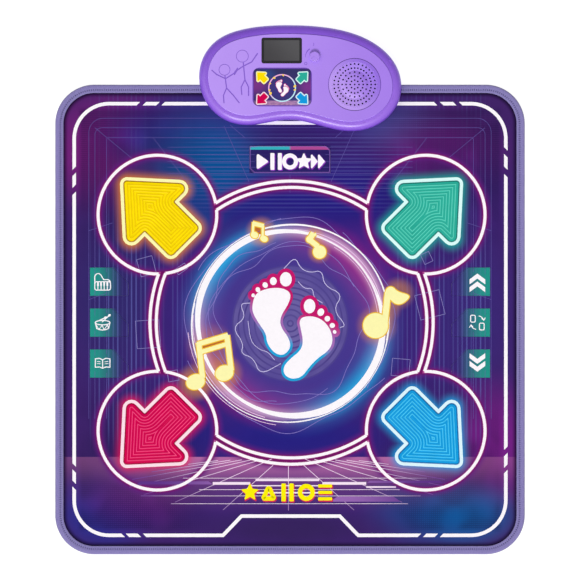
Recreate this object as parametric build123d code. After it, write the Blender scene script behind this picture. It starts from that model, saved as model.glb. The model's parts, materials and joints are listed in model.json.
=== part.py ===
from build123d import *

import math
import os

# A dance floor mat with a control box clamped over the middle of its back edge.
# The mat is a stitched sandwich: printed cover, pressure membrane, foam and an anti-slip backing. Four
# raised arrow windows and seven printed keys press down onto the membrane. The box holds the display,
# the on/off and volume knob, the loudspeaker, the circuit board and three round cells.
# Millimetres. The origin is on the mat's underside at its centre, +Y points to the box and +Z is up.

# --- The mat --------------------------------------------------------------------------------------
MAT_WIDTH = 900.0
MAT_DEPTH = 900.0
MAT_CORNER_R = 75.0

BACKING_T = 1.6
CORE_T = 2.8
FILM_T = 0.4
SPACER_T = 1.4  # a pad or key sinks by all of this but a fifth of a millimetre
COVER_T = 1.2
BINDING_WIDTH = 16.0  # how far the folded edge tape reaches over the mat
BINDING_T = 1.6  # two layers of tape
BINDING_ROUND = 1.5
STITCH_INSET = 10.5
THREAD_WIDTH = 0.8
THREAD_T = 0.4
EDGE_GAP = 0.3  # between the backing and the tape folded under the mat

# --- Arrow windows, one on each diagonal ----------------------------------------------------------
PAD_SPACING_X = 514.0
PAD_SPACING_Y = 414.0
PAD_FIELD_X = 3.0  # centre of the four pads, from the mat's centre
PAD_FIELD_Y = -6.0
ARROW_LENGTH = 167.4
ARROW_TIP_REACH = 91.7  # from the pad's centre to the arrow's tip
ARROW_HEAD_LENGTH = 96.4
ARROW_HEAD_HALF = 87.4
ARROW_SHAFT_HALF = 39.3
ARROW_TIP_R = 6.0
ARROW_HEAD_R = 10.0
ARROW_TAIL_R = 8.0
ARROW_NOTCH_R = 3.0
ARROW_RISE = 1.0  # above the cover
ARROW_EDGE_R = 0.6

# --- Printed keys ---------------------------------------------------------------------------------
START_WIDTH = 155.5
START_DEPTH = 52.8
START_FROM_BACK = 143.2  # its centre, from the mat's back edge
START_CORNER = 9.0
SIDE_KEY_WIDTH = 73.0
SIDE_KEY_DEPTH = 53.7
SIDE_KEY_CHAMFER = 30.0
SIDE_KEY_MARGIN = 67.0  # from the mat's edge to the key's outer edge
SIDE_KEY_PITCH = 78.4
KEY_CORNER_R = 1.5

# --- Clearances -----------------------------------------------------------------------------------
KEY_GAP = 0.35  # round every moving window and key
FIT_GAP = 0.2
PART_GAP = 0.3

# --- Arrow lights ---------------------------------------------------------------------------------
LIGHT_BOARD_INSET = 14.0
LIGHT_BOARD_T = 1.0
LIGHT_POCKET_GAP = 0.5
LED_SIZE = (5.0, 5.0, 0.8)
RIBBON_WIDTH = 12.0
RIBBON_T = 0.5
RIBBON_TRUNK_X = 90.0
RIBBON_OVERLAP = 14.0  # how far a branch lies on its light board

# --- The control box ------------------------------------------------------------------------------
BOX_LENGTH = 387.0
BOX_DEPTH = 202.0
BOX_HEIGHT = 44.0
BOX_CENTRE_X = 19.75
BOX_OVERHANG = 113.25  # past the mat's back edge
BOX_WALL = 2.5
BOX_FLOOR = 3.5
BOX_LIFT = 1.0  # the base shell's underside above the floor
BOX_SPLIT_Z = 20.0
FLANK_ROUND = 13.0
PLATEAU_INSET = 17.0
PLATEAU_RISE = 1.5
PLATEAU_ROUND = 1.0
LIP_T = 1.1
LIP_HEIGHT = 2.0

# The box's outline, as shares of its half length and half depth, anticlockwise from the right end.
BOX_OUTLINE = [
    (0.999, -0.151),
    (0.921, 0.314),
    (0.673, 0.720),
    (0.342, 0.928),
    (-0.102, 0.998),
    (-0.547, 0.928),
    (-0.826, 0.710),
    (-0.970, 0.344),
    (-1.000, -0.042),
    (-0.919, -0.498),
    (-0.733, -0.805),
    (-0.495, -0.889),
    (-0.298, -0.834),
    (-0.061, -0.795),
    (0.146, -0.874),
    (0.389, -0.988),
    (0.621, -0.983),
    (0.854, -0.765),
    (0.968, -0.468),
]
OUTLINE_SAMPLES = 48  # points of a drawn-in outline

# Where things stand in the box, as the same shares.
SPEAKER_AT = (0.536, -0.130)
DISPLAY_AT = (-0.184, 0.512)
LABEL_AT = (-0.179, -0.178)
KNOB_AT = (0.141, 0.397)
BAY_AT = (-0.678, 0.265)
DANCERS_AT = (-0.64, 0.04)
TAIL_AT = (-0.13, -0.41)
CLAMP_SCREWS_AT = [(-0.748, -0.557), (-0.335, -0.557), (0.079, -0.557), (0.818, -0.557)]
CASE_SCREWS_AT = [(-0.882, 0.195), (-0.593, 0.750), (0.880, 0.295)]
BESIDE_BOARD_AT_Y = 0.770  # the fourth case screw stands beside the board's end
FEET_AT = [(-0.732, 0.690), (-0.360, 0.080), (0.210, 0.080), (0.640, 0.590)]

# --- Display, label and knob ----------------------------------------------------------------------
DISPLAY_LENGTH = 77.0
DISPLAY_DEPTH = 49.0
DISPLAY_CORNER_R = 4.0
DISPLAY_BORDER = 4.6
DISPLAY_FRAME_T = 6.0
DISPLAY_SUNK = 0.4
WINDOW_T = 1.5
WINDOW_SUNK = 0.6
WINDOW_CORNER_R = 2.0
MODULE_T = 3.0
LABEL_LENGTH = 113.0
LABEL_DEPTH = 73.5
LABEL_CORNER_R = 13.0
LABEL_T = 0.5
LABEL_RECESS = 0.6
KNOB_R = 10.0
KNOB_HEIGHT = 7.0
KNOB_LIFT = 0.6
KNOB_DOME_R = 2.0
KNOB_BORE_DEPTH = 4.5
SHAFT_R = 3.0
SHAFT_HOLE_R = 3.6
POT_SIZE = (17.0, 17.0, 6.5)
POINTER_WIDTH = 1.6
POINTER_RISE = 0.7
KNOB_OFF_ANGLE = 218.0  # the off mark, anticlockwise from +X
KNOB_SWEEP = 124.0  # clockwise from off to full volume
SCALE_R = 17.5  # the engraved arc that widens from off to on
SCALE_START = 185.0
SCALE_END = 122.0
SCALE_STEPS = 8
SCALE_THIN = 0.5
SCALE_THICK = 2.2
ENGRAVING = 0.5

# --- Loudspeaker ----------------------------------------------------------------------------------
GRILLE_R = 50.4  # the round opening in the top shell
GRILLE_GAP = 1.1  # the ring groove round the grille
GRILLE_LEDGE = 5.4
GRILLE_LEDGE_T = 1.2
GRILLE_T = 1.8
BOWL_R = 43.5
BOWL_DEPTH = 3.2
BOWL_FLOOR_R = 27.0
HUB_R = 20.0
HUB_RISE = 1.4
GRILLE_HOLE_R = 1.6
GRILLE_RINGS = [(8.4, 8), (16.4, 16), (23.8, 16), (31.5, 32), (39.3, 32)]
SPEAKER_INSET = 1.4  # the speaker's flange ends inside the grille's edge
SPEAKER_FLANGE_T = 1.6
SPEAKER_WALL = 1.2
SPEAKER_RIM_R = 43.0
SURROUND_SEAT = 2.6  # the ledge in the basket that the surround is glued to
SURROUND_T = 0.6
SPEAKER_SEAT_R = 22.0
SPEAKER_BASKET_DEPTH = 15.5
CONE_R = 36.0
CONE_TOP_DROP = 2.6
CONE_DEPTH = 9.0
CONE_T = 0.8
CONE_TRAVEL = 0.8  # each way
COIL_R = 12.4
MAGNET_R = 19.0
MAGNET_T = 6.0
MAGNET_BACK_T = 2.0
POLE_R = 11.4
GAP_R = 14.5
SPEAKER_SCREW_INSET = 1.8  # from the flange's edge to the screws' axes
SPEAKER_SCREWS = 4

# --- Circuit board, wires and cells ---------------------------------------------------------------
BOARD_Z = 20.0
BOARD_T = 1.6
BOARD_DEPTH = 70.0
BOARD_AT_Y = 0.443
BOARD_CLEAR = 6.0
BOARD_HOLE_INSET = 5.0
POST_R = 3.5
TAIL_WIDTH = 40.0
TAIL_Z = 16.0
TAIL_SLOT = 3.0
TAIL_FOOT = 12.0
TAIL_ROOM = 1.0
RIBBON_EXIT = 36.0  # from the membrane tail's middle to the ribbon's
LEAD_R = 0.7
LEAD_PITCH = 4.0
CELL_R = 7.25
CELL_LENGTH = 50.5
CELL_NUB = (2.7, 1.0)
CELLS = 3
CELL_GAP = 0.5  # between neighbouring cells
CONTACT_SPACE = 4.0
CONTACT_T = 0.4
CONTACT_PLATE = 11.0
CONTACT_R = 4.2
SPRING_TIP_R = 2.6
BAY_WALL = 1.8
BAY_ROOF = 2.0
BAY_ROOM = 0.5

# --- Battery door ---------------------------------------------------------------------------------
DOOR_T = 2.4
DOOR_LEDGE = 3.0  # the door's overlap with the bay's edge, on each side
DOOR_PIN_R = 0.8
DOOR_PIN_LENGTH = 2.0
DOOR_PIN_CLEARANCE = 0.08
DOOR_SWING_RELIEF = 1.6  # how far the recess runs back below the hinge, for the open door's outer face
LATCH_WIDTH = 16.0
LATCH_REACH = 2.4

# --- Screws and feet ------------------------------------------------------------------------------
SCREW_R = 1.25
SCREW_PILOT_R = 1.3
SCREW_HOLE_R = 1.7
SCREW_HEAD_R = 3.0
SCREW_HEAD_T = 1.4
SCREW_SLOT = (0.7, 0.5)
BOSS_R = 4.5
BOSS_CLEAR = 1.93  # between the board's end and the boss beside it
SCREW_BITE = 14.0  # how far a long screw reaches up its top boss
CASE_HEAD_Z = 8.6
CASE_BOSS_TOP = 16.0
CLAMP_STRIP_WIDTH = 16.0
CLAMP_STRIP_T = 2.4
CLAMP_STRIP_END = 14.0  # past the outermost screws
BOARD_SCREW_LENGTH = 6.0
BOARD_SCREW_R = 1.0
FOOT_R = 7.0
FOOT_RECESS = 0.6

# --- Levels and places that follow from the sizes -------------------------------------------------
CORE_Z = BACKING_T
LOWER_FILM_Z = CORE_Z + CORE_T
SPACER_Z = LOWER_FILM_Z + FILM_T
UPPER_FILM_Z = SPACER_Z + SPACER_T
COVER_Z = UPPER_FILM_Z + FILM_T
MAT_TOP = COVER_Z + COVER_T
BINDING_TOP = MAT_TOP + BINDING_T
MAT_BACK_Y = MAT_DEPTH / 2
BOX_CENTRE_Y = MAT_BACK_Y + BOX_OVERHANG - BOX_DEPTH / 2
RELIEF_Z = BINDING_TOP + THREAD_T + 0.5  # the base shell clears the stitched tape
RELIEF_Y = MAT_BACK_Y - BINDING_WIDTH - 1.0
LOW_FLOOR_Z = BOX_LIFT + BOX_FLOOR
FRONT_FLOOR_Z = MAT_TOP + BOX_FLOOR
RAISED_FLOOR_Z = RELIEF_Z + BOX_FLOOR
REAR_WALL_Y = MAT_BACK_Y + FIT_GAP  # the base shell's step behind the mat's edge
PLATEAU_Z = BOX_HEIGHT
FLANK_Z = PLATEAU_Z - PLATEAU_RISE
CEILING_Z = FLANK_Z - BOX_WALL
LIGHT_BOARD_Z = LOWER_FILM_Z - 2.0
RIBBON_Z = LIGHT_BOARD_Z + LIGHT_BOARD_T
TALL = 200.0  # a cut that clears everything above or below it
WIDE = 4 * max(MAT_WIDTH, MAT_DEPTH, BOX_LENGTH)


def box_place(u, v):
    """The plan position of a place in the box, from its shares of the half length and half depth."""
    return BOX_CENTRE_X + u * BOX_LENGTH / 2, BOX_CENTRE_Y + v * BOX_DEPTH / 2


def raised(face, low, high):
    """A flat outline as a solid from one level to another."""
    return extrude(Pos(0, 0, low) * face, amount=high - low, dir=(0, 0, 1))


def post(x, y, radius, low, high):
    """A round post or hole."""
    return Pos(x, y, (low + high) / 2) * Cylinder(radius, high - low)


def block(x0, x1, y0, y1, z0, z1):
    """A rectangular block between its corners."""
    middle = Pos((x0 + x1) / 2, (y0 + y1) / 2, (z0 + z1) / 2)
    return middle * Box(x1 - x0, y1 - y0, z1 - z0)


def rounded_plate(length, depth, radius):
    """A rounded rectangle, centred."""
    return RectangleRounded(length, depth, radius)


def revolved(x, y, points):
    """A solid turned about the upright axis at x, y, from its half section of (radius, height) points."""
    section = Plane.XZ * make_face(Polyline(*points, close=True))
    return Pos(x, y, 0) * revolve(section, Axis.Z)


def mat_outline(inset):
    """The mat's rounded outline, drawn in by inset."""
    return rounded_plate(MAT_WIDTH - 2 * inset, MAT_DEPTH - 2 * inset, MAT_CORNER_R - inset)


def box_outline(inset=0.0):
    """The control box's outline, drawn in by inset."""
    edge = Spline(*[box_place(u, v) for u, v in BOX_OUTLINE], periodic=True)
    if inset:
        points = []
        for i in range(OUTLINE_SAMPLES):
            along = edge % (i / OUTLINE_SAMPLES)
            inward = Vector(-along.Y, along.X)
            points.append(edge @ (i / OUTLINE_SAMPLES) + inward * inset)
        edge = Spline(*points, periodic=True)
    return make_face(edge)


def arrow_face(grow=0.0):
    """An arrow that points along +X from the pad's centre, drawn out by grow, or in where it is negative."""
    back = ARROW_TIP_REACH - ARROW_HEAD_LENGTH
    tail = ARROW_TIP_REACH - ARROW_LENGTH
    corners = [
        (ARROW_TIP_REACH, 0),
        (back, ARROW_HEAD_HALF),
        (back, ARROW_SHAFT_HALF),
        (tail, ARROW_SHAFT_HALF),
        (tail, -ARROW_SHAFT_HALF),
        (back, -ARROW_SHAFT_HALF),
        (back, -ARROW_HEAD_HALF),
    ]
    face = make_face(Polyline(*corners, close=True))
    radii = {
        ARROW_TIP_R: [corners[0]],
        ARROW_HEAD_R: [corners[1], corners[6]],
        ARROW_TAIL_R: [corners[3], corners[4]],
        ARROW_NOTCH_R: [corners[2], corners[5]],
    }
    for radius, places in radii.items():
        for x, y in places:
            found = face.vertices().sort_by_distance((x, y, 0))[0]
            face = fillet(found, radius)
    return offset(face, grow) if grow else face


def start_face(grow=0.0):
    """The start key: a rectangle with two opposite corners cut."""
    length, depth = START_WIDTH / 2 + grow, START_DEPTH / 2 + grow
    cut = START_CORNER + grow * (2 - math.sqrt(2))
    corners = [
        (-length, depth),
        (length - cut, depth),
        (length, depth - cut),
        (length, -depth),
        (-length + cut, -depth),
        (-length, -depth + cut),
    ]
    face = make_face(Polyline(*corners, close=True))
    return fillet(face.vertices(), KEY_CORNER_R + grow)


def side_key_face(side, grow=0.0):
    """A side key, chamfered towards the mat's middle. side is -1 on the left and 1 on the right."""
    outer, inner = -grow, SIDE_KEY_WIDTH + grow
    low, high = -SIDE_KEY_DEPTH / 2 - grow, SIDE_KEY_DEPTH / 2 + grow
    cut = SIDE_KEY_CHAMFER + grow * (2 - math.sqrt(2))
    corners = [(outer, low), (inner, low), (inner, high - cut), (inner - cut, high), (outer, high)]
    edge = MAT_WIDTH / 2 - SIDE_KEY_MARGIN
    placed = [(side * (edge - x), y) for x, y in corners]
    face = make_face(Polyline(*placed, close=True))
    return fillet(face.vertices(), KEY_CORNER_R + grow)


# The four pads: name, plan position and the direction that the arrow points, in degrees.
PADS = [
    (
        name,
        (PAD_FIELD_X + sx * PAD_SPACING_X / 2, PAD_FIELD_Y + sy * PAD_SPACING_Y / 2),
        math.degrees(math.atan2(sy, sx)),
    )
    for name, sx, sy in [
        ("back_left", -1, 1),
        ("back_right", 1, 1),
        ("front_left", -1, -1),
        ("front_right", 1, -1),
    ]
]
START_KEY_Y = MAT_BACK_Y - START_FROM_BACK
SIDE_KEYS = [
    ("key_piano", -1, 1),
    ("key_drum", -1, 0),
    ("key_book", -1, -1),
    ("key_up", 1, 1),
    ("key_mode", 1, 0),
    ("key_down", 1, -1),
]
SPEAKER = box_place(*SPEAKER_AT)
BAY = box_place(*BAY_AT)
KNOB = box_place(*KNOB_AT)
TAIL = box_place(*TAIL_AT)
RIBBON_EXIT_X = TAIL[0] + RIBBON_EXIT
CELL_PITCH = 2 * CELL_R + CELL_GAP
BAY_LENGTH = CELL_LENGTH + 2 * CONTACT_SPACE
BAY_WIDTH = CELLS * CELL_PITCH + 2 * BAY_ROOM
BAY_X = (BAY[0] - BAY_WIDTH / 2, BAY[0] + BAY_WIDTH / 2)
BAY_Y = (BAY[1] - BAY_LENGTH / 2, BAY[1] + BAY_LENGTH / 2)
DOOR_RECESS_Z = BOX_LIFT + DOOR_T + PART_GAP
CELL_Z = DOOR_RECESS_Z + BAY_ROOM + CELL_R
BAY_TOP = CELL_Z + CELL_R + BAY_ROOM
KNUCKLE_R = DOOR_T / 2
DOOR_AXIS_Y = BAY_Y[1] + DOOR_LEDGE - PART_GAP - KNUCKLE_R
DOOR_AXIS_Z = BOX_LIFT + KNUCKLE_R
SPEAKER_TOP = CEILING_Z
SPEAKER_R = GRILLE_R - SPEAKER_INSET
SPEAKER_SCREW_RING = SPEAKER_R - SPEAKER_SCREW_INSET
CONE_TOP = SPEAKER_TOP - SPEAKER_FLANGE_T - CONE_TOP_DROP
SEAT_Z = SPEAKER_TOP - SPEAKER_FLANGE_T - SPEAKER_BASKET_DEPTH
BOARD_X = (
    BAY_X[1] + BAY_WALL + BOARD_CLEAR,
    SPEAKER[0] - SPEAKER_R - BOARD_CLEAR,
)
BOARD_MIDDLE_Y = box_place(0, BOARD_AT_Y)[1]
BOARD_Y = (BOARD_MIDDLE_Y - BOARD_DEPTH / 2, BOARD_MIDDLE_Y + BOARD_DEPTH / 2)
BOARD_HOLES = [
    (x, y)
    for x in (BOARD_X[0] + BOARD_HOLE_INSET, BOARD_X[1] - BOARD_HOLE_INSET)
    for y in (BOARD_Y[0] + BOARD_HOLE_INSET, BOARD_Y[1] - BOARD_HOLE_INSET)
]
CLAMP_SCREWS = [box_place(u, v) for u, v in CLAMP_SCREWS_AT]
CASE_SCREWS = [box_place(u, v) for u, v in CASE_SCREWS_AT]
CASE_SCREWS.append((BOARD_X[1] + BOSS_R + BOSS_CLEAR, box_place(0, BESIDE_BOARD_AT_Y)[1]))
CLAMP_SCREW_TOP = FRONT_FLOOR_Z + SCREW_BITE
CASE_SCREW_TOP = CASE_BOSS_TOP + SCREW_BITE

parts = {}


def through_mat(low, high):
    """The clamp screws' holes and the two tail slots, as one cut between two levels."""
    cut = [post(x, y, SCREW_HOLE_R, low, high) for x, y in CLAMP_SCREWS]
    cut.append(tail_slot(TAIL[0], TAIL_WIDTH, low, high))
    cut.append(tail_slot(RIBBON_EXIT_X, RIBBON_WIDTH, low, high))
    return cut


def tail_slot(x, width, low, high):
    """A slot that a flat tail rises through."""
    half, open_half = width / 2 + TAIL_ROOM, TAIL_SLOT / 2
    return block(x - half, x + half, TAIL[1] - open_half, TAIL[1] + open_half, low, high)


def key_openings(low, high):
    """The holes that the arrow windows and keys move in, between two levels."""
    cut = [
        raised(Pos(x, y) * Rot(0, 0, turn) * arrow_face(KEY_GAP), low, high)
        for _, (x, y), turn in PADS
    ]
    cut.append(raised(Pos(0, START_KEY_Y) * start_face(KEY_GAP), low, high))
    for _, side, step in SIDE_KEYS:
        y = PAD_FIELD_Y + step * SIDE_KEY_PITCH
        cut.append(raised(Pos(0, y) * side_key_face(side, KEY_GAP), low, high))
    return cut


def ribbon_plan(grow=0.0):
    """The light ribbon's trunks, branches and cross run, as (x0, x1, y0, y1)."""
    half = RIBBON_WIDTH / 2 + grow
    runs = []
    for side in (-1, 1):
        trunk = side * RIBBON_TRUNK_X
        low = PAD_FIELD_Y - PAD_SPACING_Y / 2
        runs.append((trunk - half, trunk + half, low - half, TAIL[1] + half))
        for _, (x, y), _ in PADS:
            if (x > 0) == (side > 0):
                reach = x - side * (ARROW_SHAFT_HALF - RIBBON_OVERLAP)
                runs.append((min(trunk, reach) - half, max(trunk, reach) + half, y - half, y + half))
    runs.append((-RIBBON_TRUNK_X - half, RIBBON_TRUNK_X + half, TAIL[1] - half, TAIL[1] + half))
    return runs


def make_mat_layers():
    """The flat layers, from the floor up."""
    whole = mat_outline(BINDING_T)
    strip = clamp_strip_box(PART_GAP)

    backing = raised(mat_outline(BINDING_WIDTH + EDGE_GAP), 0, BACKING_T)
    parts["anti_slip_backing"] = backing - strip

    core = raised(whole, CORE_Z, LOWER_FILM_Z) - strip
    for _, (x, y), turn in PADS:
        pocket = Pos(x, y) * Rot(0, 0, turn) * arrow_face(LIGHT_POCKET_GAP - LIGHT_BOARD_INSET)
        core -= raised(pocket, LIGHT_BOARD_Z, LOWER_FILM_Z)
    for x0, x1, y0, y1 in ribbon_plan(LIGHT_POCKET_GAP):
        core -= block(x0, x1, y0, y1, RIBBON_Z, LOWER_FILM_Z)
    parts["foam_core"] = core - [
        post(x, y, SCREW_HOLE_R, 0, LOWER_FILM_Z) for x, y in CLAMP_SCREWS
    ]

    lower = raised(whole, LOWER_FILM_Z, SPACER_Z)
    lower_cut = [post(x, y, SCREW_HOLE_R, LOWER_FILM_Z, SPACER_Z) for x, y in CLAMP_SCREWS]
    lower_cut.append(tail_slot(RIBBON_EXIT_X, RIBBON_WIDTH, LOWER_FILM_Z, SPACER_Z))
    parts["lower_membrane_film"] = lower - lower_cut

    spacer = raised(whole, SPACER_Z, UPPER_FILM_Z)
    foot = block(
        TAIL[0] - TAIL_WIDTH / 2 - TAIL_ROOM,
        TAIL[0] + TAIL_WIDTH / 2 + TAIL_ROOM,
        TAIL[1] - TAIL_FOOT - TAIL_ROOM,
        TAIL[1],
        SPACER_Z,
        UPPER_FILM_Z,
    )
    spacer = spacer - key_openings(SPACER_Z, UPPER_FILM_Z) - foot
    parts["membrane_spacer"] = spacer - through_mat(SPACER_Z, UPPER_FILM_Z)

    upper = raised(whole, UPPER_FILM_Z, COVER_Z) - key_openings(UPPER_FILM_Z, COVER_Z)
    parts["upper_membrane_film"] = upper - through_mat(UPPER_FILM_Z, COVER_Z)

    cover = raised(whole, COVER_Z, MAT_TOP) - key_openings(COVER_Z, MAT_TOP)
    parts["printed_cover"] = cover - through_mat(COVER_Z, MAT_TOP)


def make_binding():
    """The folded tape round the mat's edge and the seam that holds it."""
    outer = raised(mat_outline(0), 0, BINDING_TOP)
    outer = fillet(outer.edges().group_by(Axis.Z)[-1], BINDING_ROUND)
    outer = fillet(outer.edges().group_by(Axis.Z)[0], BINDING_ROUND)
    outer -= raised(mat_outline(BINDING_WIDTH), -TALL, TALL)
    parts["edge_binding"] = outer - raised(mat_outline(BINDING_T), BACKING_T, MAT_TOP)

    seam = raised(mat_outline(STITCH_INSET), BINDING_TOP, BINDING_TOP + THREAD_T)
    inner = mat_outline(STITCH_INSET + THREAD_WIDTH)
    parts["seam_thread"] = seam - raised(inner, BINDING_TOP - THREAD_T, BINDING_TOP + 2 * THREAD_T)


def make_pads():
    """The raised arrow windows, with the membrane patch bonded under each."""
    for name, (x, y), turn in PADS:
        place = Pos(x, y) * Rot(0, 0, turn)
        window = raised(arrow_face(), COVER_Z, MAT_TOP + ARROW_RISE)
        window = fillet(window.edges().group_by(Axis.Z)[-1], ARROW_EDGE_R)
        parts["arrow_window_" + name] = place * window
        parts["contact_patch_" + name] = place * raised(arrow_face(-KEY_GAP), UPPER_FILM_Z, COVER_Z)


def make_keys():
    """The printed keys: cover and membrane laminated into one patch each."""
    parts["key_start"] = raised(Pos(0, START_KEY_Y) * start_face(), UPPER_FILM_Z, MAT_TOP)
    for name, side, step in SIDE_KEYS:
        y = PAD_FIELD_Y + step * SIDE_KEY_PITCH
        parts[name] = raised(Pos(0, y) * side_key_face(side), UPPER_FILM_Z, MAT_TOP)


def make_lights():
    """The light boards in the core's pockets, their light chips, and the ribbon that feeds them."""
    boards, chips = [], []
    length, depth, height = LED_SIZE
    spots = [
        (ARROW_TIP_REACH / 2, 0),
        (ARROW_TIP_REACH / 8, ARROW_HEAD_HALF / 3),
        (ARROW_TIP_REACH / 8, -ARROW_HEAD_HALF / 3),
        (-ARROW_LENGTH / 4, ARROW_SHAFT_HALF / 3),
        (-ARROW_LENGTH / 4, -ARROW_SHAFT_HALF / 3),
    ]
    for _, (x, y), turn in PADS:
        place = Pos(x, y) * Rot(0, 0, turn)
        boards.append(place * raised(arrow_face(-LIGHT_BOARD_INSET), LIGHT_BOARD_Z, RIBBON_Z))
        for u, v in spots:
            chips.append(place * Pos(u, v, RIBBON_Z + height / 2) * Box(length, depth, height))
    parts["light_boards"] = Compound(children=boards)
    parts["light_chips"] = Compound(children=chips)

    flat = None
    for x0, x1, y0, y1 in ribbon_plan():
        run = block(x0, x1, y0, y1, RIBBON_Z, RIBBON_Z + RIBBON_T)
        flat = run if flat is None else flat + run
    half = RIBBON_WIDTH / 2
    x0, x1 = RIBBON_EXIT_X - half, RIBBON_EXIT_X + half
    flat += block(x0, x1, TAIL[1] - RIBBON_T / 2, TAIL[1] + RIBBON_T / 2, RIBBON_Z, TAIL_Z + RIBBON_T)
    flat += block(x0, x1, TAIL[1] - RIBBON_T / 2, BOARD_Y[0] + 8.0, TAIL_Z, TAIL_Z + RIBBON_T)
    parts["light_ribbon"] = flat


def make_membrane_tail():
    """The membrane's flat tail: a foot bonded to the lower film, a riser, and a run to the circuit board."""
    x0, x1 = TAIL[0] - TAIL_WIDTH / 2, TAIL[0] + TAIL_WIDTH / 2
    y0, y1 = TAIL[1] - FILM_T / 2, TAIL[1] + FILM_T / 2
    tail = block(x0, x1, y0 - TAIL_FOOT, y1, SPACER_Z, SPACER_Z + FILM_T)
    tail += block(x0, x1, y0, y1, SPACER_Z, TAIL_Z + FILM_T)
    tail += block(x0, x1, y0, BOARD_Y[0] + 8.0, TAIL_Z, TAIL_Z + FILM_T)
    parts["membrane_tail"] = tail


def screw(x, y, head_low, tip, head_up=False, radius=SCREW_R, head_radius=SCREW_HEAD_R):
    """A screw with a slotted head, driven upwards from its head, or downwards if head_up."""
    if head_up:
        head = post(x, y, head_radius, head_low, head_low + SCREW_HEAD_T)
        shank = post(x, y, radius, tip, head_low)
        slot_z = head_low + SCREW_HEAD_T
    else:
        head = post(x, y, head_radius, head_low, head_low + SCREW_HEAD_T)
        shank = post(x, y, radius, head_low + SCREW_HEAD_T, tip)
        slot_z = head_low
    width, depth = SCREW_SLOT
    cut = Pos(x, y, slot_z) * Box(2.2 * head_radius, width, 2 * depth)
    return head + shank - cut


def clamp_strip_box(grow=0.0):
    """The plan of the strip under the mat, as a block, drawn out by grow."""
    xs, y = [x for x, _ in CLAMP_SCREWS], CLAMP_SCREWS[0][1]
    half = CLAMP_STRIP_WIDTH / 2 + grow
    end = CLAMP_STRIP_END + grow
    return block(min(xs) - end, max(xs) + end, y - half, y + half, 0, CLAMP_STRIP_T)


def make_clamp():
    """The strip under the mat and the screws that pull mat, base shell and top shell together."""
    strip = clamp_strip_box()
    strip = fillet(strip.edges().filter_by(Axis.Z), CLAMP_STRIP_WIDTH / 3)
    for x, y in CLAMP_SCREWS:
        strip -= post(x, y, SCREW_HOLE_R, 0, CLAMP_STRIP_T)
        strip -= post(x, y, SCREW_HEAD_R + FIT_GAP, 0, SCREW_HEAD_T)
    parts["mat_clamp_strip"] = strip
    screws = [screw(x, y, 0, CLAMP_SCREW_TOP) for x, y in CLAMP_SCREWS]
    parts["clamp_screws"] = Compound(children=screws)


def base_cavity():
    """The base shell's inside: three floor levels, over the mat, over its stitched edge and behind it."""
    inner = box_outline(BOX_WALL)
    whole = raised(inner, RAISED_FLOOR_Z, BOX_SPLIT_Z + TALL)
    front = raised(inner, FRONT_FLOOR_Z, BOX_SPLIT_Z) & block(
        -WIDE, WIDE, -WIDE, RELIEF_Y - BOX_WALL, 0, TALL
    )
    rear = raised(inner, LOW_FLOOR_Z, BOX_SPLIT_Z) & block(
        -WIDE, WIDE, REAR_WALL_Y + BOX_WALL, WIDE, 0, TALL
    )
    return whole + front + rear


def door_recess():
    """The seat of the battery door in the base shell's underside, with its hinge sockets and latch notch."""
    side = DOOR_LEDGE
    seat = block(
        BAY_X[0] - side,
        BAY_X[1] + side,
        BAY_Y[0] - side,
        BAY_Y[1] + side,
        BOX_LIFT - 1.0,
        DOOR_RECESS_Z,
    )
    socket_half = BAY_WIDTH / 2 + side - PART_GAP + DOOR_PIN_LENGTH + PART_GAP
    socket = Pos(BAY[0], DOOR_AXIS_Y, DOOR_AXIS_Z) * Rot(0, 90, 0)
    seat += socket * Cylinder(DOOR_PIN_R + DOOR_PIN_CLEARANCE, 2 * socket_half)
    notch = LATCH_WIDTH / 2 + PART_GAP
    y = BAY_Y[0] - side
    seat += block(BAY[0] - notch, BAY[0] + notch, y - LATCH_REACH - 3.0, y + 1.0, BOX_LIFT - 1.0, DOOR_RECESS_Z)
    back = BAY_Y[1] + side
    relief = block(
        BAY_X[0] - side, BAY_X[1] + side, back - 1.0, back + DOOR_SWING_RELIEF, BOX_LIFT - 1.0, DOOR_AXIS_Z
    )
    return seat + relief


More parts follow.
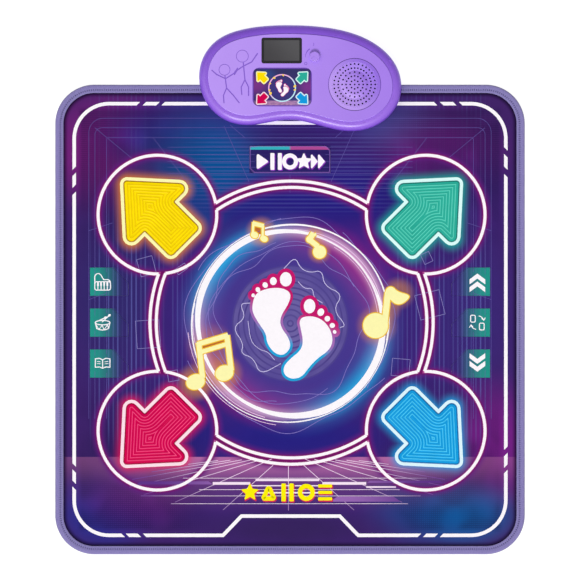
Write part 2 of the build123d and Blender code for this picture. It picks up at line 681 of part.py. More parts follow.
def make_base_shell():
    """The lower half of the box: it stands on the floor behind the mat and steps up over the mat's edge."""
    shell = raised(box_outline(), BOX_LIFT, BOX_SPLIT_Z)
    lip = raised(box_outline(BOX_WALL - LIP_T), BOX_SPLIT_Z - 1.0, BOX_SPLIT_Z + LIP_HEIGHT)
    shell += lip
    shell -= block(-WIDE, WIDE, -WIDE, REAR_WALL_Y, 0, MAT_TOP)
    shell -= block(-WIDE, WIDE, RELIEF_Y, REAR_WALL_Y, 0, RELIEF_Z)
    shell -= base_cavity()
    shell += block(
        BAY_X[0] - BAY_WALL,
        BAY_X[1] + BAY_WALL,
        BAY_Y[0] - BAY_WALL,
        BAY_Y[1] + BAY_WALL,
        LOW_FLOOR_Z - 1.0,
        BAY_TOP + BAY_ROOF,
    )
    for x, y in CASE_SCREWS:
        shell += post(x, y, BOSS_R, LOW_FLOOR_Z - 1.0, CASE_BOSS_TOP)
    for x, y in BOARD_HOLES:
        shell += post(x, y, POST_R, LOW_FLOOR_Z - 1.0, BOARD_Z)
    shell -= block(BAY_X[0], BAY_X[1], BAY_Y[0], BAY_Y[1], BOX_LIFT, BAY_TOP)
    shell -= door_recess()
    for x, y in CASE_SCREWS:
        shell -= post(x, y, SCREW_HEAD_R + FIT_GAP, 0, CASE_HEAD_Z + SCREW_HEAD_T)
        shell -= post(x, y, SCREW_HOLE_R, 0, CASE_BOSS_TOP + 1.0)
    for x, y in BOARD_HOLES:
        low = BOARD_Z - BOARD_SCREW_LENGTH + BOARD_T
        shell -= post(x, y, BOARD_SCREW_R + 0.05, low - 1.0, BOARD_Z + 1.0)
    for u, v in FEET_AT:
        x, y = box_place(u, v)
        shell -= post(x, y, FOOT_R + FIT_GAP, 0, BOX_LIFT + FOOT_RECESS)
    shell -= [post(x, y, SCREW_HOLE_R, MAT_TOP - 1.0, FRONT_FLOOR_Z + 1.0) for x, y in CLAMP_SCREWS]
    shell -= tail_slot(TAIL[0], TAIL_WIDTH, MAT_TOP - 1.0, RAISED_FLOOR_Z)
    shell -= tail_slot(RIBBON_EXIT_X, RIBBON_WIDTH, MAT_TOP - 1.0, RAISED_FLOOR_Z)
    parts["base_shell"] = shell


def dancer_strokes():
    """Two plain dancing figures, as (x, y) line ends in millimetres from their middle, and head circles."""
    heads = [(-21.0, 11.0, 11.0), (13.0, 37.0, 12.0)]
    strokes = [
        # the front figure: body, arms, legs
        [(-20, -1), (-17, -24)],
        [(-19, -6), (-36, 2), (-45, 10)],
        [(-19, -6), (-3, 4), (4, 14)],
        [(-17, -24), (-23, -38), (-22, -52)],
        [(-17, -24), (-4, -38), (7, -52)],
        # the back figure: body, arms, legs
        [(15, 24), (18, -8)],
        [(15, 18), (3, 10), (-2, 2)],
        [(15, 18), (31, 26), (42, 42)],
        [(18, -8), (11, -22), (12, -36)],
        [(18, -8), (25, -22), (25, -38)],
    ]
    return heads, strokes


def engraving():
    """What is sunk into the plateau: the two figures, the volume scale and the on and off marks."""
    low, high = PLATEAU_Z - ENGRAVING, PLATEAU_Z + 1.0
    line = 1.1
    cx, cy = box_place(*DANCERS_AT)
    cuts = []
    heads, strokes = dancer_strokes()
    for x, y, r in heads:
        ring = post(cx + x, cy + y, r, low, high) - post(cx + x, cy + y, r - line, low, high)
        cuts.append(ring)
    for points in strokes:
        for (x0, y0), (x1, y1) in zip(points, points[1:]):
            long, turn = math.hypot(x1 - x0, y1 - y0), math.degrees(math.atan2(y1 - y0, x1 - x0))
            slot = Pos(cx + (x0 + x1) / 2, cy + (y0 + y1) / 2) * Rot(0, 0, turn)
            cuts.append(raised(slot * SlotCenterToCenter(long, 2 * line), low, high))
    kx, ky = KNOB
    step = (SCALE_END - SCALE_START) / SCALE_STEPS
    inner, outer = [], []
    for i in range(SCALE_STEPS + 1):
        angle = math.radians(SCALE_START + i * step)
        half = (SCALE_THIN + (SCALE_THICK - SCALE_THIN) * i / SCALE_STEPS) / 2
        inner.append((kx + (SCALE_R - half) * math.cos(angle), ky + (SCALE_R - half) * math.sin(angle)))
        outer.append((kx + (SCALE_R + half) * math.cos(angle), ky + (SCALE_R + half) * math.sin(angle)))
    wedge = make_face(
        [Spline(*inner), Line(inner[-1], outer[-1]), Spline(*outer[::-1]), Line(outer[0], inner[0])]
    )
    cuts.append(raised(wedge, low, high))
    off = math.radians(KNOB_OFF_ANGLE)
    on = math.radians(KNOB_OFF_ANGLE - KNOB_SWEEP)
    mark = SCALE_R + 4.0
    x, y = kx + mark * math.cos(off), ky + mark * math.sin(off)
    cuts.append(post(x, y, 2.9, low, high) - post(x, y, 2.1, low, high))
    x, y = kx + (mark + 2.0) * math.cos(on), ky + (mark + 2.0) * math.sin(on)
    cuts.append(block(x - 0.5, x + 0.5, y - 3.0, y + 3.0, low, high))
    return cuts


def make_top_shell():
    """The upper half of the box: a rounded flank round a raised plateau."""
    shell = raised(box_outline(), BOX_SPLIT_Z, FLANK_Z)
    shell = fillet(shell.edges().group_by(Axis.Z)[-1], FLANK_ROUND)
    plateau = raised(box_outline(PLATEAU_INSET), FLANK_Z - 1.0, PLATEAU_Z)
    shell += fillet(plateau.edges().group_by(Axis.Z)[-1], PLATEAU_ROUND)
    inside = raised(box_outline(BOX_WALL), BOX_SPLIT_Z, CEILING_Z)
    shell -= fillet(inside.edges().group_by(Axis.Z)[-1], FLANK_ROUND - BOX_WALL)
    rebate = box_outline(BOX_WALL - LIP_T - FIT_GAP)
    shell -= raised(rebate, BOX_SPLIT_Z, BOX_SPLIT_Z + LIP_HEIGHT + FIT_GAP)

    bosses = [(x, y, FRONT_FLOOR_Z + FIT_GAP, CLAMP_SCREW_TOP) for x, y in CLAMP_SCREWS]
    bosses += [(x, y, CASE_BOSS_TOP + FIT_GAP, CASE_SCREW_TOP) for x, y in CASE_SCREWS]
    for x, y, low, tip in bosses:
        shell += post(x, y, BOSS_R, low, CEILING_Z + 1.0)
    for x, y, low, tip in bosses:
        shell -= post(x, y, SCREW_PILOT_R, low - 1.0, tip + 1.0)

    x, y = SPEAKER
    ledge_z = SPEAKER_TOP + GRILLE_LEDGE_T
    shell -= post(x, y, GRILLE_R, ledge_z, PLATEAU_Z + 1.0)
    shell -= post(x, y, GRILLE_R - GRILLE_LEDGE, CEILING_Z - 1.0, PLATEAU_Z + 1.0)
    for hole_x, hole_y in speaker_screw_places():
        shell -= post(hole_x, hole_y, BOARD_SCREW_R + 0.05, CEILING_Z - 1.0, ledge_z - 0.1)

    x, y = box_place(*DISPLAY_AT)
    opening = Pos(x, y) * rounded_plate(
        DISPLAY_LENGTH + 2 * FIT_GAP, DISPLAY_DEPTH + 2 * FIT_GAP, DISPLAY_CORNER_R + FIT_GAP
    )
    shell -= raised(opening, CEILING_Z - 1.0, PLATEAU_Z + 1.0)
    x, y = box_place(*LABEL_AT)
    recess = Pos(x, y) * rounded_plate(
        LABEL_LENGTH + 2 * FIT_GAP, LABEL_DEPTH + 2 * FIT_GAP, LABEL_CORNER_R + FIT_GAP
    )
    shell -= raised(recess, PLATEAU_Z - LABEL_RECESS, PLATEAU_Z + 1.0)
    shell -= post(*KNOB, SHAFT_HOLE_R, CEILING_Z - 1.0, PLATEAU_Z + 1.0)
    shell -= engraving()
    parts["top_shell"] = shell


def make_display():
    """The black frame, the tinted window and the display module behind it."""
    place = Pos(*box_place(*DISPLAY_AT))
    top = PLATEAU_Z - DISPLAY_SUNK
    length, depth = DISPLAY_LENGTH - 2 * DISPLAY_BORDER, DISPLAY_DEPTH - 2 * DISPLAY_BORDER
    frame = raised(rounded_plate(DISPLAY_LENGTH, DISPLAY_DEPTH, DISPLAY_CORNER_R), top - DISPLAY_FRAME_T, top)
    opening = rounded_plate(length + 2 * FIT_GAP, depth + 2 * FIT_GAP, WINDOW_CORNER_R + FIT_GAP)
    parts["display_frame"] = place * (frame - raised(opening, top - DISPLAY_FRAME_T, top))
    window_top = top - WINDOW_SUNK
    window = raised(rounded_plate(length, depth, WINDOW_CORNER_R), window_top - WINDOW_T, window_top)
    parts["display_window"] = place * window
    module_top = window_top - WINDOW_T
    module = raised(Rectangle(length - 1.0, depth - 1.0), module_top - MODULE_T, module_top)
    parts["display_module"] = place * module


def make_label():
    """The printed panel set into the plateau."""
    low = PLATEAU_Z - LABEL_RECESS
    face = rounded_plate(LABEL_LENGTH, LABEL_DEPTH, LABEL_CORNER_R)
    parts["label_panel"] = Pos(*box_place(*LABEL_AT)) * raised(face, low, low + LABEL_T)


def make_knob():
    """The knob with its pointer, the shaft that turns with it and the control it turns."""
    x, y = KNOB
    low = PLATEAU_Z + KNOB_LIFT
    knob = post(x, y, KNOB_R, low, low + KNOB_HEIGHT)
    knob = fillet(knob.edges().group_by(Axis.Z)[-1], KNOB_DOME_R)
    pointer = Rot(0, 0, KNOB_OFF_ANGLE) * Pos(KNOB_R / 2 - 0.6, 0, 0)
    pointer *= Box(KNOB_R - 3.0, POINTER_WIDTH, POINTER_RISE + 1.0)
    knob += Pos(x, y, low + KNOB_HEIGHT + (POINTER_RISE - 1.0) / 2) * pointer
    bore_top = low + KNOB_BORE_DEPTH
    knob -= post(x, y, SHAFT_R, low, bore_top)
    parts["volume_knob"] = knob
    pot_top = BOARD_Z + BOARD_T + POT_SIZE[2]
    parts["knob_shaft"] = post(x, y, SHAFT_R, pot_top - 3.0, bore_top)
    body = Pos(x, y, pot_top - POT_SIZE[2] / 2) * Box(*POT_SIZE)
    parts["volume_control"] = body - post(x, y, SHAFT_R + 0.05, pot_top - 3.0 - PART_GAP, pot_top)


def make_grille():
    """The dished grille with its rings of holes. It drops into the top shell and rests on a ledge."""
    x, y = SPEAKER
    rim, ledge_z = GRILLE_R - GRILLE_GAP, SPEAKER_TOP + GRILLE_LEDGE_T
    floor_z, hub_z = PLATEAU_Z - BOWL_DEPTH, PLATEAU_Z - BOWL_DEPTH + HUB_RISE
    under = GRILLE_R - GRILLE_LEDGE - PART_GAP
    section = [
        (0, hub_z),
        (HUB_R, hub_z),
        (BOWL_FLOOR_R, floor_z),
        (BOWL_R, PLATEAU_Z),
        (rim, PLATEAU_Z),
        (rim, ledge_z),
        (under, ledge_z),
        (BOWL_FLOOR_R, floor_z - GRILLE_T),
        (HUB_R, hub_z - GRILLE_T),
        (0, hub_z - GRILLE_T),
    ]
    grille = revolved(x, y, section)
    low, high = floor_z - 2 * GRILLE_T, PLATEAU_Z + 1.0
    holes = [post(x, y, GRILLE_HOLE_R, low, high)]
    for radius, count in GRILLE_RINGS:
        for i in range(count):
            turn = 2 * math.pi * i / count
            place = (x + radius * math.cos(turn), y + radius * math.sin(turn))
            holes.append(post(*place, GRILLE_HOLE_R, low, high))
    parts["speaker_grille"] = grille - holes


def speaker_screw_places():
    """Round the speaker's flange, on the diagonals."""
    places = []
    for i in range(SPEAKER_SCREWS):
        turn = math.pi / 4 + 2 * math.pi * i / SPEAKER_SCREWS
        places.append(
            (
                SPEAKER[0] + SPEAKER_SCREW_RING * math.cos(turn),
                SPEAKER[1] + SPEAKER_SCREW_RING * math.sin(turn),
            )
        )
    return places


def make_speaker():
    """The loudspeaker: basket, magnet, surround, and the cone with its voice coil, which moves."""
    x, y = SPEAKER
    flange_z = SPEAKER_TOP - SPEAKER_FLANGE_T
    seat_z = CONE_TOP - SURROUND_T
    basket = revolved(
        x,
        y,
        [
            (SPEAKER_RIM_R, SPEAKER_TOP),
            (SPEAKER_R, SPEAKER_TOP),
            (SPEAKER_R, flange_z),
            (SPEAKER_RIM_R + SPEAKER_WALL, flange_z),
            (SPEAKER_RIM_R + SPEAKER_WALL, seat_z - SPEAKER_WALL),
            (SPEAKER_SEAT_R + SPEAKER_WALL, SEAT_Z),
            (GAP_R, SEAT_Z),
            (GAP_R, SEAT_Z + SPEAKER_WALL),
            (SPEAKER_SEAT_R, SEAT_Z + SPEAKER_WALL),
            (SPEAKER_RIM_R - SURROUND_SEAT, seat_z - SPEAKER_WALL),
            (SPEAKER_RIM_R - SURROUND_SEAT, seat_z),
            (SPEAKER_RIM_R, seat_z),
        ],
    )
    screw_holes = [
        post(a, b, BOARD_SCREW_R + FIT_GAP, flange_z - 1, SPEAKER_TOP + 1)
        for a, b in speaker_screw_places()
    ]
    basket -= screw_holes
    parts["speaker_basket"] = basket
    back_z = SEAT_Z - MAGNET_T
    parts["speaker_magnet"] = revolved(
        x,
        y,
        [
            (0, back_z),
            (MAGNET_R, back_z),
            (MAGNET_R, SEAT_Z),
            (GAP_R, SEAT_Z),
            (GAP_R, back_z + MAGNET_BACK_T),
            (POLE_R, back_z + MAGNET_BACK_T),
            (POLE_R, SEAT_Z + 1.0),
            (0, SEAT_Z + 1.0),
        ],
    )
    outer_r = SPEAKER_RIM_R - PART_GAP
    roll_r = (CONE_R + SPEAKER_RIM_R - SURROUND_SEAT) / 2
    parts["speaker_surround"] = revolved(
        x,
        y,
        [
            (CONE_R + PART_GAP, CONE_TOP),
            (roll_r - 1.4, CONE_TOP),
            (roll_r, CONE_TOP + 1.4),
            (roll_r + 1.4, CONE_TOP),
            (outer_r, CONE_TOP),
            (outer_r, seat_z),
            (roll_r + 0.8, seat_z),
            (roll_r, CONE_TOP + 0.6),
            (roll_r - 0.8, seat_z),
            (CONE_R + PART_GAP, seat_z),
        ],
    )
    neck_z = CONE_TOP - CONE_DEPTH
    coil_low = SEAT_Z - MAGNET_T + MAGNET_BACK_T + CONE_TRAVEL + PART_GAP
    cap_z = neck_z + 3.6
    parts["speaker_cone"] = revolved(
        x,
        y,
        [
            (0, cap_z),
            (COIL_R * 0.6, cap_z - 0.9),
            (COIL_R + 0.2, neck_z + CONE_T),
            (CONE_R, CONE_TOP),
            (CONE_R, CONE_TOP - CONE_T),
            (COIL_R + CONE_T, neck_z - 0.2),
            (COIL_R + CONE_T, coil_low),
            (COIL_R, coil_low),
            (COIL_R, neck_z),
            (COIL_R * 0.6, cap_z - 0.9 - CONE_T),
            (0, cap_z - CONE_T),
        ],
    )
    tip = SPEAKER_TOP + GRILLE_LEDGE_T - 0.3
    screws = [
        screw(a, b, flange_z - SCREW_HEAD_T, tip, radius=BOARD_SCREW_R, head_radius=1.7)
        for a, b in speaker_screw_places()
    ]
    parts["speaker_screws"] = Compound(children=screws)


def make_board():
    """The circuit board on its posts, what is soldered to it, and its screws."""
    (x0, x1), (y0, y1) = BOARD_X, BOARD_Y
    top = BOARD_Z + BOARD_T
    board = block(x0, x1, y0, y1, BOARD_Z, top)
    board -= [post(x, y, BOARD_SCREW_R + FIT_GAP, BOARD_Z - 1, top + 1) for x, y in BOARD_HOLES]
    parts["circuit_board"] = board

    tail_socket = block(
        TAIL[0] - TAIL_WIDTH / 2 - 2, TAIL[0] + TAIL_WIDTH / 2 + 2, y0 + 1, y0 + 10, TAIL_Z + FILM_T, BOARD_Z
    )
    half = RIBBON_WIDTH / 2 + 1
    ribbon_socket = block(
        RIBBON_EXIT_X - half, RIBBON_EXIT_X + half, y0 + 1, y0 + 10, TAIL_Z + RIBBON_T, BOARD_Z
    )
    middle = (x0 + x1) / 2
    chip = block(middle - 22, middle - 6, y0 + 18, y0 + 34, top, top + 2.0)
    amplifier = block(x1 - 24, x1 - 12, y0 + 12, y0 + 20, top, top + 2.0)
    header = block(middle - 34, middle - 4, y1 - 12, y1 - 8, top, top + 6.0)
    tall_cap = post(x0 + 16, y0 + 20, 4.0, top, top + 9.0)
    small_cap = post(x0 + 28, y0 + 20, 2.5, top, top + 7.0)
    parts["board_components"] = Compound(
        children=[tail_socket, ribbon_socket, chip, amplifier, header, tall_cap, small_cap]
    )
    screws = [
        screw(x, y, top, top - BOARD_SCREW_LENGTH, True, BOARD_SCREW_R, 2.2) for x, y in BOARD_HOLES
    ]
    parts["board_screws"] = Compound(children=screws)


def make_cells():
    """Three round cells side by side, each the other way round from its neighbour, and their contacts."""
    nub_r, nub_t = CELL_NUB
    can_length = CELL_LENGTH - nub_t
    spring_t = CONTACT_SPACE - CONTACT_T
    cells, contacts = [], []
    for i in range(CELLS):
        x = BAY[0] + (i - (CELLS - 1) / 2) * CELL_PITCH
        place = Pos(x, BAY[1], CELL_Z) * Rot(-90 if i % 2 == 0 else 90, 0, 0)
        can = Pos(0, 0, -nub_t / 2) * Cylinder(CELL_R, can_length)
        nub = Pos(0, 0, can_length / 2) * Cylinder(nub_r, nub_t)
        cells.append(place * (can + nub))
        stud = Pos(0, 0, (CELL_LENGTH + CONTACT_SPACE) / 2) * Cylinder(CONTACT_R, CONTACT_SPACE)
        contacts.append(place * stud)
        spring = Pos(0, 0, -(CELL_LENGTH + spring_t) / 2) * Cone(CONTACT_R, SPRING_TIP_R, spring_t)
        plate_z = -(CELL_LENGTH + CONTACT_SPACE + spring_t) / 2
        plate = Pos(0, 0, plate_z) * Box(CONTACT_PLATE, CONTACT_PLATE, CONTACT_T)
        contacts.append(place * (spring + plate))
    parts["battery_cells"] = Compound(children=cells)
    parts["battery_contacts"] = Compound(children=contacts)


def make_door():
    """The battery door, with a round knuckle and pins at its hinged end and a finger latch at the other."""
    side = DOOR_LEDGE - PART_GAP
    low, high = BOX_LIFT, BOX_LIFT + DOOR_T
    x0, x1 = BAY_X[0] - side, BAY_X[1] + side
    door = block(x0, x1, BAY_Y[0] - side, DOOR_AXIS_Y, low, high)
    axis = Pos(BAY[0], DOOR_AXIS_Y, DOOR_AXIS_Z) * Rot(0, 90, 0)
    door += axis * Cylinder(KNUCKLE_R, x1 - x0)
    door += axis * Cylinder(DOOR_PIN_R, x1 - x0 + 2 * DOOR_PIN_LENGTH)
    half = LATCH_WIDTH / 2
    y = BAY_Y[0] - side
    door += block(BAY[0] - half, BAY[0] + half, y - LATCH_REACH, y + 1, low, low + DOOR_T / 2)
    parts["battery_door"] = door


def lead(points, radius):
    """A round wire along a route of straight runs joined by arcs as large as the runs allow."""
    bends = []
    for a, b, c in zip(points, points[1:], points[2:]):
        first, second = Vector(b) - Vector(a), Vector(c) - Vector(b)
        turn = math.radians(first.get_angle(second))
        bends.append(0.45 * min(first.length, second.length) / math.tan(turn / 2))
    print("wire bends, mm:", [round(r, 1) for r in bends])
    path = FilletPolyline(*points, radius=bends)
    start = Plane(origin=path @ 0, z_dir=path % 0)
    wire = sweep(start * Circle(radius), path=path)
    share = wire.volume / (math.pi * radius**2 * path.length)
    print("wire volume over section times length:", round(share, 3))
    return wire


def make_leads():
    """The two pairs of wires inside the box: speaker to board, and battery contacts to board."""
    z = BOARD_Z + BOARD_T + LEAD_R
    end_x, end_y = BOARD_X[1] - 3.0, BOARD_MIDDLE_Y - 12.0
    terminal = SPEAKER[0] - SPEAKER_SEAT_R - SPEAKER_WALL - 9.0
    pair = []
    for i in range(2):
        y = SPEAKER[1] + 18.0 + i * LEAD_PITCH
        target = end_y + i * LEAD_PITCH
        points = [
            (end_x, target, z),
            (end_x + 7.0, target, z + 0.6),
            (end_x + 12.0, (target + y) / 2 + 2.0, z + 2.0),
            (terminal - 5.0, y + 1.0, z + 1.2),
            (terminal + 0.5, y, z + 0.4),
        ]
        pair.append(lead(points, LEAD_R))
    parts["speaker_leads"] = Compound(children=pair)

    pair = []
    start_x = BAY_X[1] + BAY_WALL
    for i in range(2):
        y = BAY[1] + (i - 0.5) * LEAD_PITCH
        points = [
            (start_x, y, BAY_TOP - 4.0),
            (start_x + 3.4, y, BAY_TOP - 4.0),
            (start_x + 4.4, y + 1.2, BAY_TOP + 2.0),
            (start_x + 6.0, y + 1.6, z + 0.9),
            (start_x + 10.5, y + 1.2, z),
        ]
        pair.append(lead(points, LEAD_R))
    parts["battery_leads"] = Compound(children=pair)


def make_fasteners_and_feet():
    """The long case screws and the rubber feet under the box."""
    screws = [screw(x, y, CASE_HEAD_Z, CASE_SCREW_TOP) for x, y in CASE_SCREWS]
    parts["case_screws"] = Compound(children=screws)
    feet = []
    for u, v in FEET_AT:
        x, y = box_place(u, v)
        foot = post(x, y, FOOT_R, 0, BOX_LIFT + FOOT_RECESS)
        feet.append(fillet(foot.edges().group_by(Axis.Z)[0], 0.4))
    parts["rubber_feet"] = Compound(children=feet)


def main():
    make_mat_layers()
    make_binding()
    make_pads()
    make_keys()
    make_lights()
    make_membrane_tail()
    make_clamp()
    make_base_shell()
    make_top_shell()
    make_display()
    make_label()
    make_knob()
    make_grille()
    make_speaker()
    make_board()
    make_cells()
    make_door()
    make_leads()
    make_fasteners_and_feet()
    os.makedirs("parts", exist_ok=True)
    for name, shape in parts.items():
        export_step(shape, f"parts/{name}.step")
    print(len(parts), "nodes")


main()
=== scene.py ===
"""Looks of a dance mat with a control box: print, windows, binding, shells, lights and camera.

Lengths in this script are millimetres until a mesh is made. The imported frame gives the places, and every
piece rides on the body that carries it.
"""

import json
import math

import bmesh
import bpy
import numpy as np
from mathutils import Matrix, Vector, noise


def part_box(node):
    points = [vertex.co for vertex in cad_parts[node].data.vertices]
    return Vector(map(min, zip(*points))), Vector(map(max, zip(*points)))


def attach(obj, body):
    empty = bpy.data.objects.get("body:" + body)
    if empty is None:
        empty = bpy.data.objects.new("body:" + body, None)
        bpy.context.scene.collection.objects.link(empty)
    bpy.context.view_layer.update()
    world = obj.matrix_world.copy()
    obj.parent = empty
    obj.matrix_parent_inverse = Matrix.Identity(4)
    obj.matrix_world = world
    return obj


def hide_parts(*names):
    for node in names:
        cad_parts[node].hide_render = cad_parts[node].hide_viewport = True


MM = 0.001
ROOT = "mat_and_box"
PADS = {
    "back_left": (-1, 1),
    "back_right": (1, 1),
    "front_left": (-1, -1),
    "front_right": (1, -1),
}
SIDE_KEYS = ["piano", "drum", "book", "up", "mode", "down"]

# --- Sizes shared with the CAD parts ----------------------------------------------------------------
ARROW_TIP = 91.7
ARROW_BACK = -4.7
ARROW_TAIL = -75.7
ARROW_HEAD_HALF = 87.4
ARROW_SHAFT_HALF = 39.3
ARROW_RADII = (6.0, 10.0, 3.0, 8.0)  # tip, head corners, notches, tail corners
ARROW_BOX_SHIFT = 6.75  # from the middle of an arrow's box to its pad's centre, along X and along Y
WINDOW_GAP = 0.35  # between a window or key and the cover
WINDOW_HUB = 21.5  # where the rays of a window's mesh meet, from its pad's centre
WINDOW_DEPTH = 46.0  # the ridges stop this far inside the outline
KEY_CORNER = 1.5  # the radius of a key's corners
MAT_RADIUS = 75.0
BINDING_WIDTH = 16.0
BINDING_T = 1.6

# --- The print --------------------------------------------------------------------------------------
LINE = 5.6  # the neon lines
CIRCLE_R = 113.7
RING_OUTER = 271.3
RING_INNER = 259.2
BORDER_HALF = 413.5
BORDER_RADIUS = 67.0
BORDER_LINE = 6.7
GLOW_R = 179.0
FLOOR_TOP = -262.8
INK_T = 0.12
INK_GLOSS = 0.05  # the print is a dull film
INK_STEP = 18.0  # the longest straight stretch of ink, so that it follows the cloth
INK_ORDER = 0.004  # how far each stroke of a piece lies above the stroke before it
INK_SUNK = 0.02  # the ink's underside lies this far inside the cloth
PRINT_DEPTH = 0.86  # how deep the printed inks are
EYE_LEVEL = -253.0  # where the floor's rays would meet
FLOOR_RAYS = 7  # on each side of the middle
RAY_SPREAD = 1.12  # how far apart the rays run, as a share of their fall

# The soft glows behind the notes: place, reach and strength.
NOTE_GLOWS = [
    (-180, -120, 42, 0.55),
    (-127, -103, 42, 0.55),
    (-152, -52, 52, 0.30),
    (166, -12, 44, 0.55),
    (184, 22, 34, 0.35),
    (208, 50, 36, 0.40),
    (-55, 168, 34, 0.60),
    (56, 130, 26, 0.60),
    (46, 158, 24, 0.50),
]
# The jagged line's runs: its corners, from the glowing ring's centre, and its width.
JAGGED = [
    (
        [
            (-12, 105),
            (9, 128),
            (20, 105),
            (38, 97),
            (61, 102),
            (65, 72),
            (101, 56),
            (82, 26),
            (107, -4),
            (95, -8),
        ],
        1.3,
    ),
    (
        [
            (-77, 39),
            (-97, 38),
            (-85, 11),
            (-111, -8),
            (-89, -39),
            (-95, -58),
            (-70, -66),
            (-58, -99),
            (-18, -77),
        ],
        1.3,
    ),
    ([(15, 80), (28, 66), (43, 68), (45, 49), (62, 39)], 1.2),
    ([(-81, 5), (-76, -35), (-58, -51), (-43, -54), (-30, -70)], 1.1),
]
# The nested frames round the picture: half width, back edge and corner radius.
TUNNEL = [(385.5, 385.7, 28.0), (373.8, 367.5, 14.0), (351.4, 348.4, 3.0)]
TUNNEL_FRONT = -190.0  # where the frames end at the front
TUNNEL_LEVELS = [330.0, 316.0, 303.0, 291.6, 280.0, 269.0, 260.0, 251.0]
TUNNEL_REACH = 235.0  # how far the level lines reach to each side
GUIDES = [  # straight guide lines, drawn on both sides
    ((373.8, 367.5), (302, 308)),
    ((262, 348), (196, 262)),
    ((126.5, 371), (78.6, 264)),
    ((115, 373), (86, 348)),
    ((386, 170), (340, 185)),
    ((386, 38), (352, 50)),
]
# The footprints' outlines, from the glowing ring's centre.
LEFT_SOLE = [(-72, 40), (-66, 58), (-42, 68), (-13, 68), (2, 57), (-3, 38), (-19, 13), (-19, -6)]
LEFT_SOLE += [(-2, -29), (1, -47), (-13, -62), (-31, -57), (-45, -37), (-46, -20), (-61, 1), (-73, 22)]
RIGHT_SOLE = [(17, 4), (24, 13), (45, 14), (63, 6), (77, -11), (82, -33), (75, -51), (52, -67), (36, -84)]
RIGHT_SOLE += [(22, -103), (2, -107), (-12, -98), (-13, -82), (2, -66), (20, -52), (25, -34), (20, -10)]
TOES = [  # centre, half widths, turn in degrees
    (-8.5, 84.5, 11.3, 13.7, 0),
    (-32.5, 81, 6.5, 7.6, 0),
    (-48, 73.5, 4.9, 5.6, 25),
    (-62, 64.5, 4.4, 5.0, 25),
    (-71, 53.7, 3.4, 3.6, 0),
    (37, 33, 11.0, 13.7, 0),
    (58.5, 21.5, 6.3, 7.4, -25),
    (71, 9, 5.3, 5.4, 0),
    (80.5, -4, 5.1, 4.8, 0),
    (85, -16.3, 3.5, 3.5, 0),
]

# --- The keys, the binding and the backing ----------------------------------------------------------
KEY_SWELL = 0.2  # how far a key's face swells up
KEY_RIM = 0.12  # how far its rim is pressed in
KEY_ROOM = 0.06  # a pressed key's underside stops this far above the sheet below it
KEY_CUT = 30.0  # the slanted corner of a side key
START_CUT = 9.0  # the two slanted corners of the start key
COVER_STEP = 9.0  # the cover's grid
STITCH_PITCH = 4.1
SEAM_INSET = 10.2  # the row of stitches, from the mat's edge
STITCH_STEPS = 4  # rings of the tape to each stitch
BINDING_ROUND = 3.6  # the radius of the tape's rolled top edge
BINDING_FOOT = 2.4  # and of its lower edge
DOT_PITCH = 12.0  # the backing's dots
DOT_R = 2.6
DOT_RISE = 0.5
PAD_SLOTS = {
    "back_left": "window_yellow",
    "back_right": "window_green",
    "front_left": "window_pink",
    "front_right": "window_blue",
}

# --- Stage and camera -------------------------------------------------------------------------------
SKY = 0.40  # the world's share of the light; the lamps' shares are in floor_and_light
CAMERA_HEIGHT = 12.0  # metres
VIEW_Y = 56.5  # the middle of the view
VIEW_WIDTH = 1112.0
SENSOR = 36.0

# --- Colours of the print ---------------------------------------------------------------------------
# The soft patches of colour: centre, half width and half height from the mat's centre, colour, strength.
PATCHES = [
    ((0, 0), (480, 520), "#38228a", 0.75),
    ((-345, 325), (150, 120), "#8a1f86", 0.85),
    ((-262, 352), (110, 70), "#2a2496", 0.75),
    ((-165, 300), (150, 125), "#0a4f9c", 0.92),
    ((-195, 225), (85, 75), "#0468a8", 0.55),
    ((0, 330), (140, 60), "#281a62", 0.65),
    ((-95, 235), (210, 70), "#1f1c84", 0.80),
    ((-150, 292), (100, 75), "#00569c", 0.92),
    ((120, 235), (200, 80), "#211b86", 0.85),
    ((205, 372), (100, 48), "#545aa6", 0.62),
    ((292, 322), (125, 85), "#7c1f88", 0.80),
    ((330, 220), (110, 110), "#4a2488", 0.60),
    ((150, 120), (120, 70), "#55208e", 0.75),
    ((-345, 40), (110, 190), "#2f2a6e", 0.75),
    ((345, 20), (110, 190), "#3a2a7e", 0.70),
    ((0, -225), (230, 60), "#241f88", 0.90),
    ((-190, -200), (60, 90), "#231f86", 0.70),
    ((385, -230), (90, 120), "#8c1f96", 0.75),
    ((340, -322), (115, 60), "#722488", 0.55),
    ((-357, -368), (105, 85), "#24349e", 0.88),
    ((-300, -340), (110, 70), "#7c1f8e", 0.60),
    ((288, -362), (140, 80), "#12509e", 0.92),
    ((0, -400), (190, 45), "#36225c", 0.80),
    ((342, -374), (95, 60), "#0666b2", 0.80),
]
# Each pad's fill, ridge, outline and halo.
PAD_TONES = {
    "back_left": ("#ffe000", "#f2c800", "#fffbb4", "#f08a1c"),
    "back_right": ("#2cae9a", "#5fd4bd", "#dcfffb", "#0cb4ac"),
    "front_left": ("#d2004e", "#f4457f", "#ffe3ec", "#f0145e"),
    "front_right": ("#129ce0", "#4cccf6", "#dff8ff", "#0aa6ee"),
}
RIM_TONES = {
    "back_left": "#8a5200",
    "back_right": "#0c5a58",
    "front_left": "#7c0030",
    "front_right": "#064f94",
}

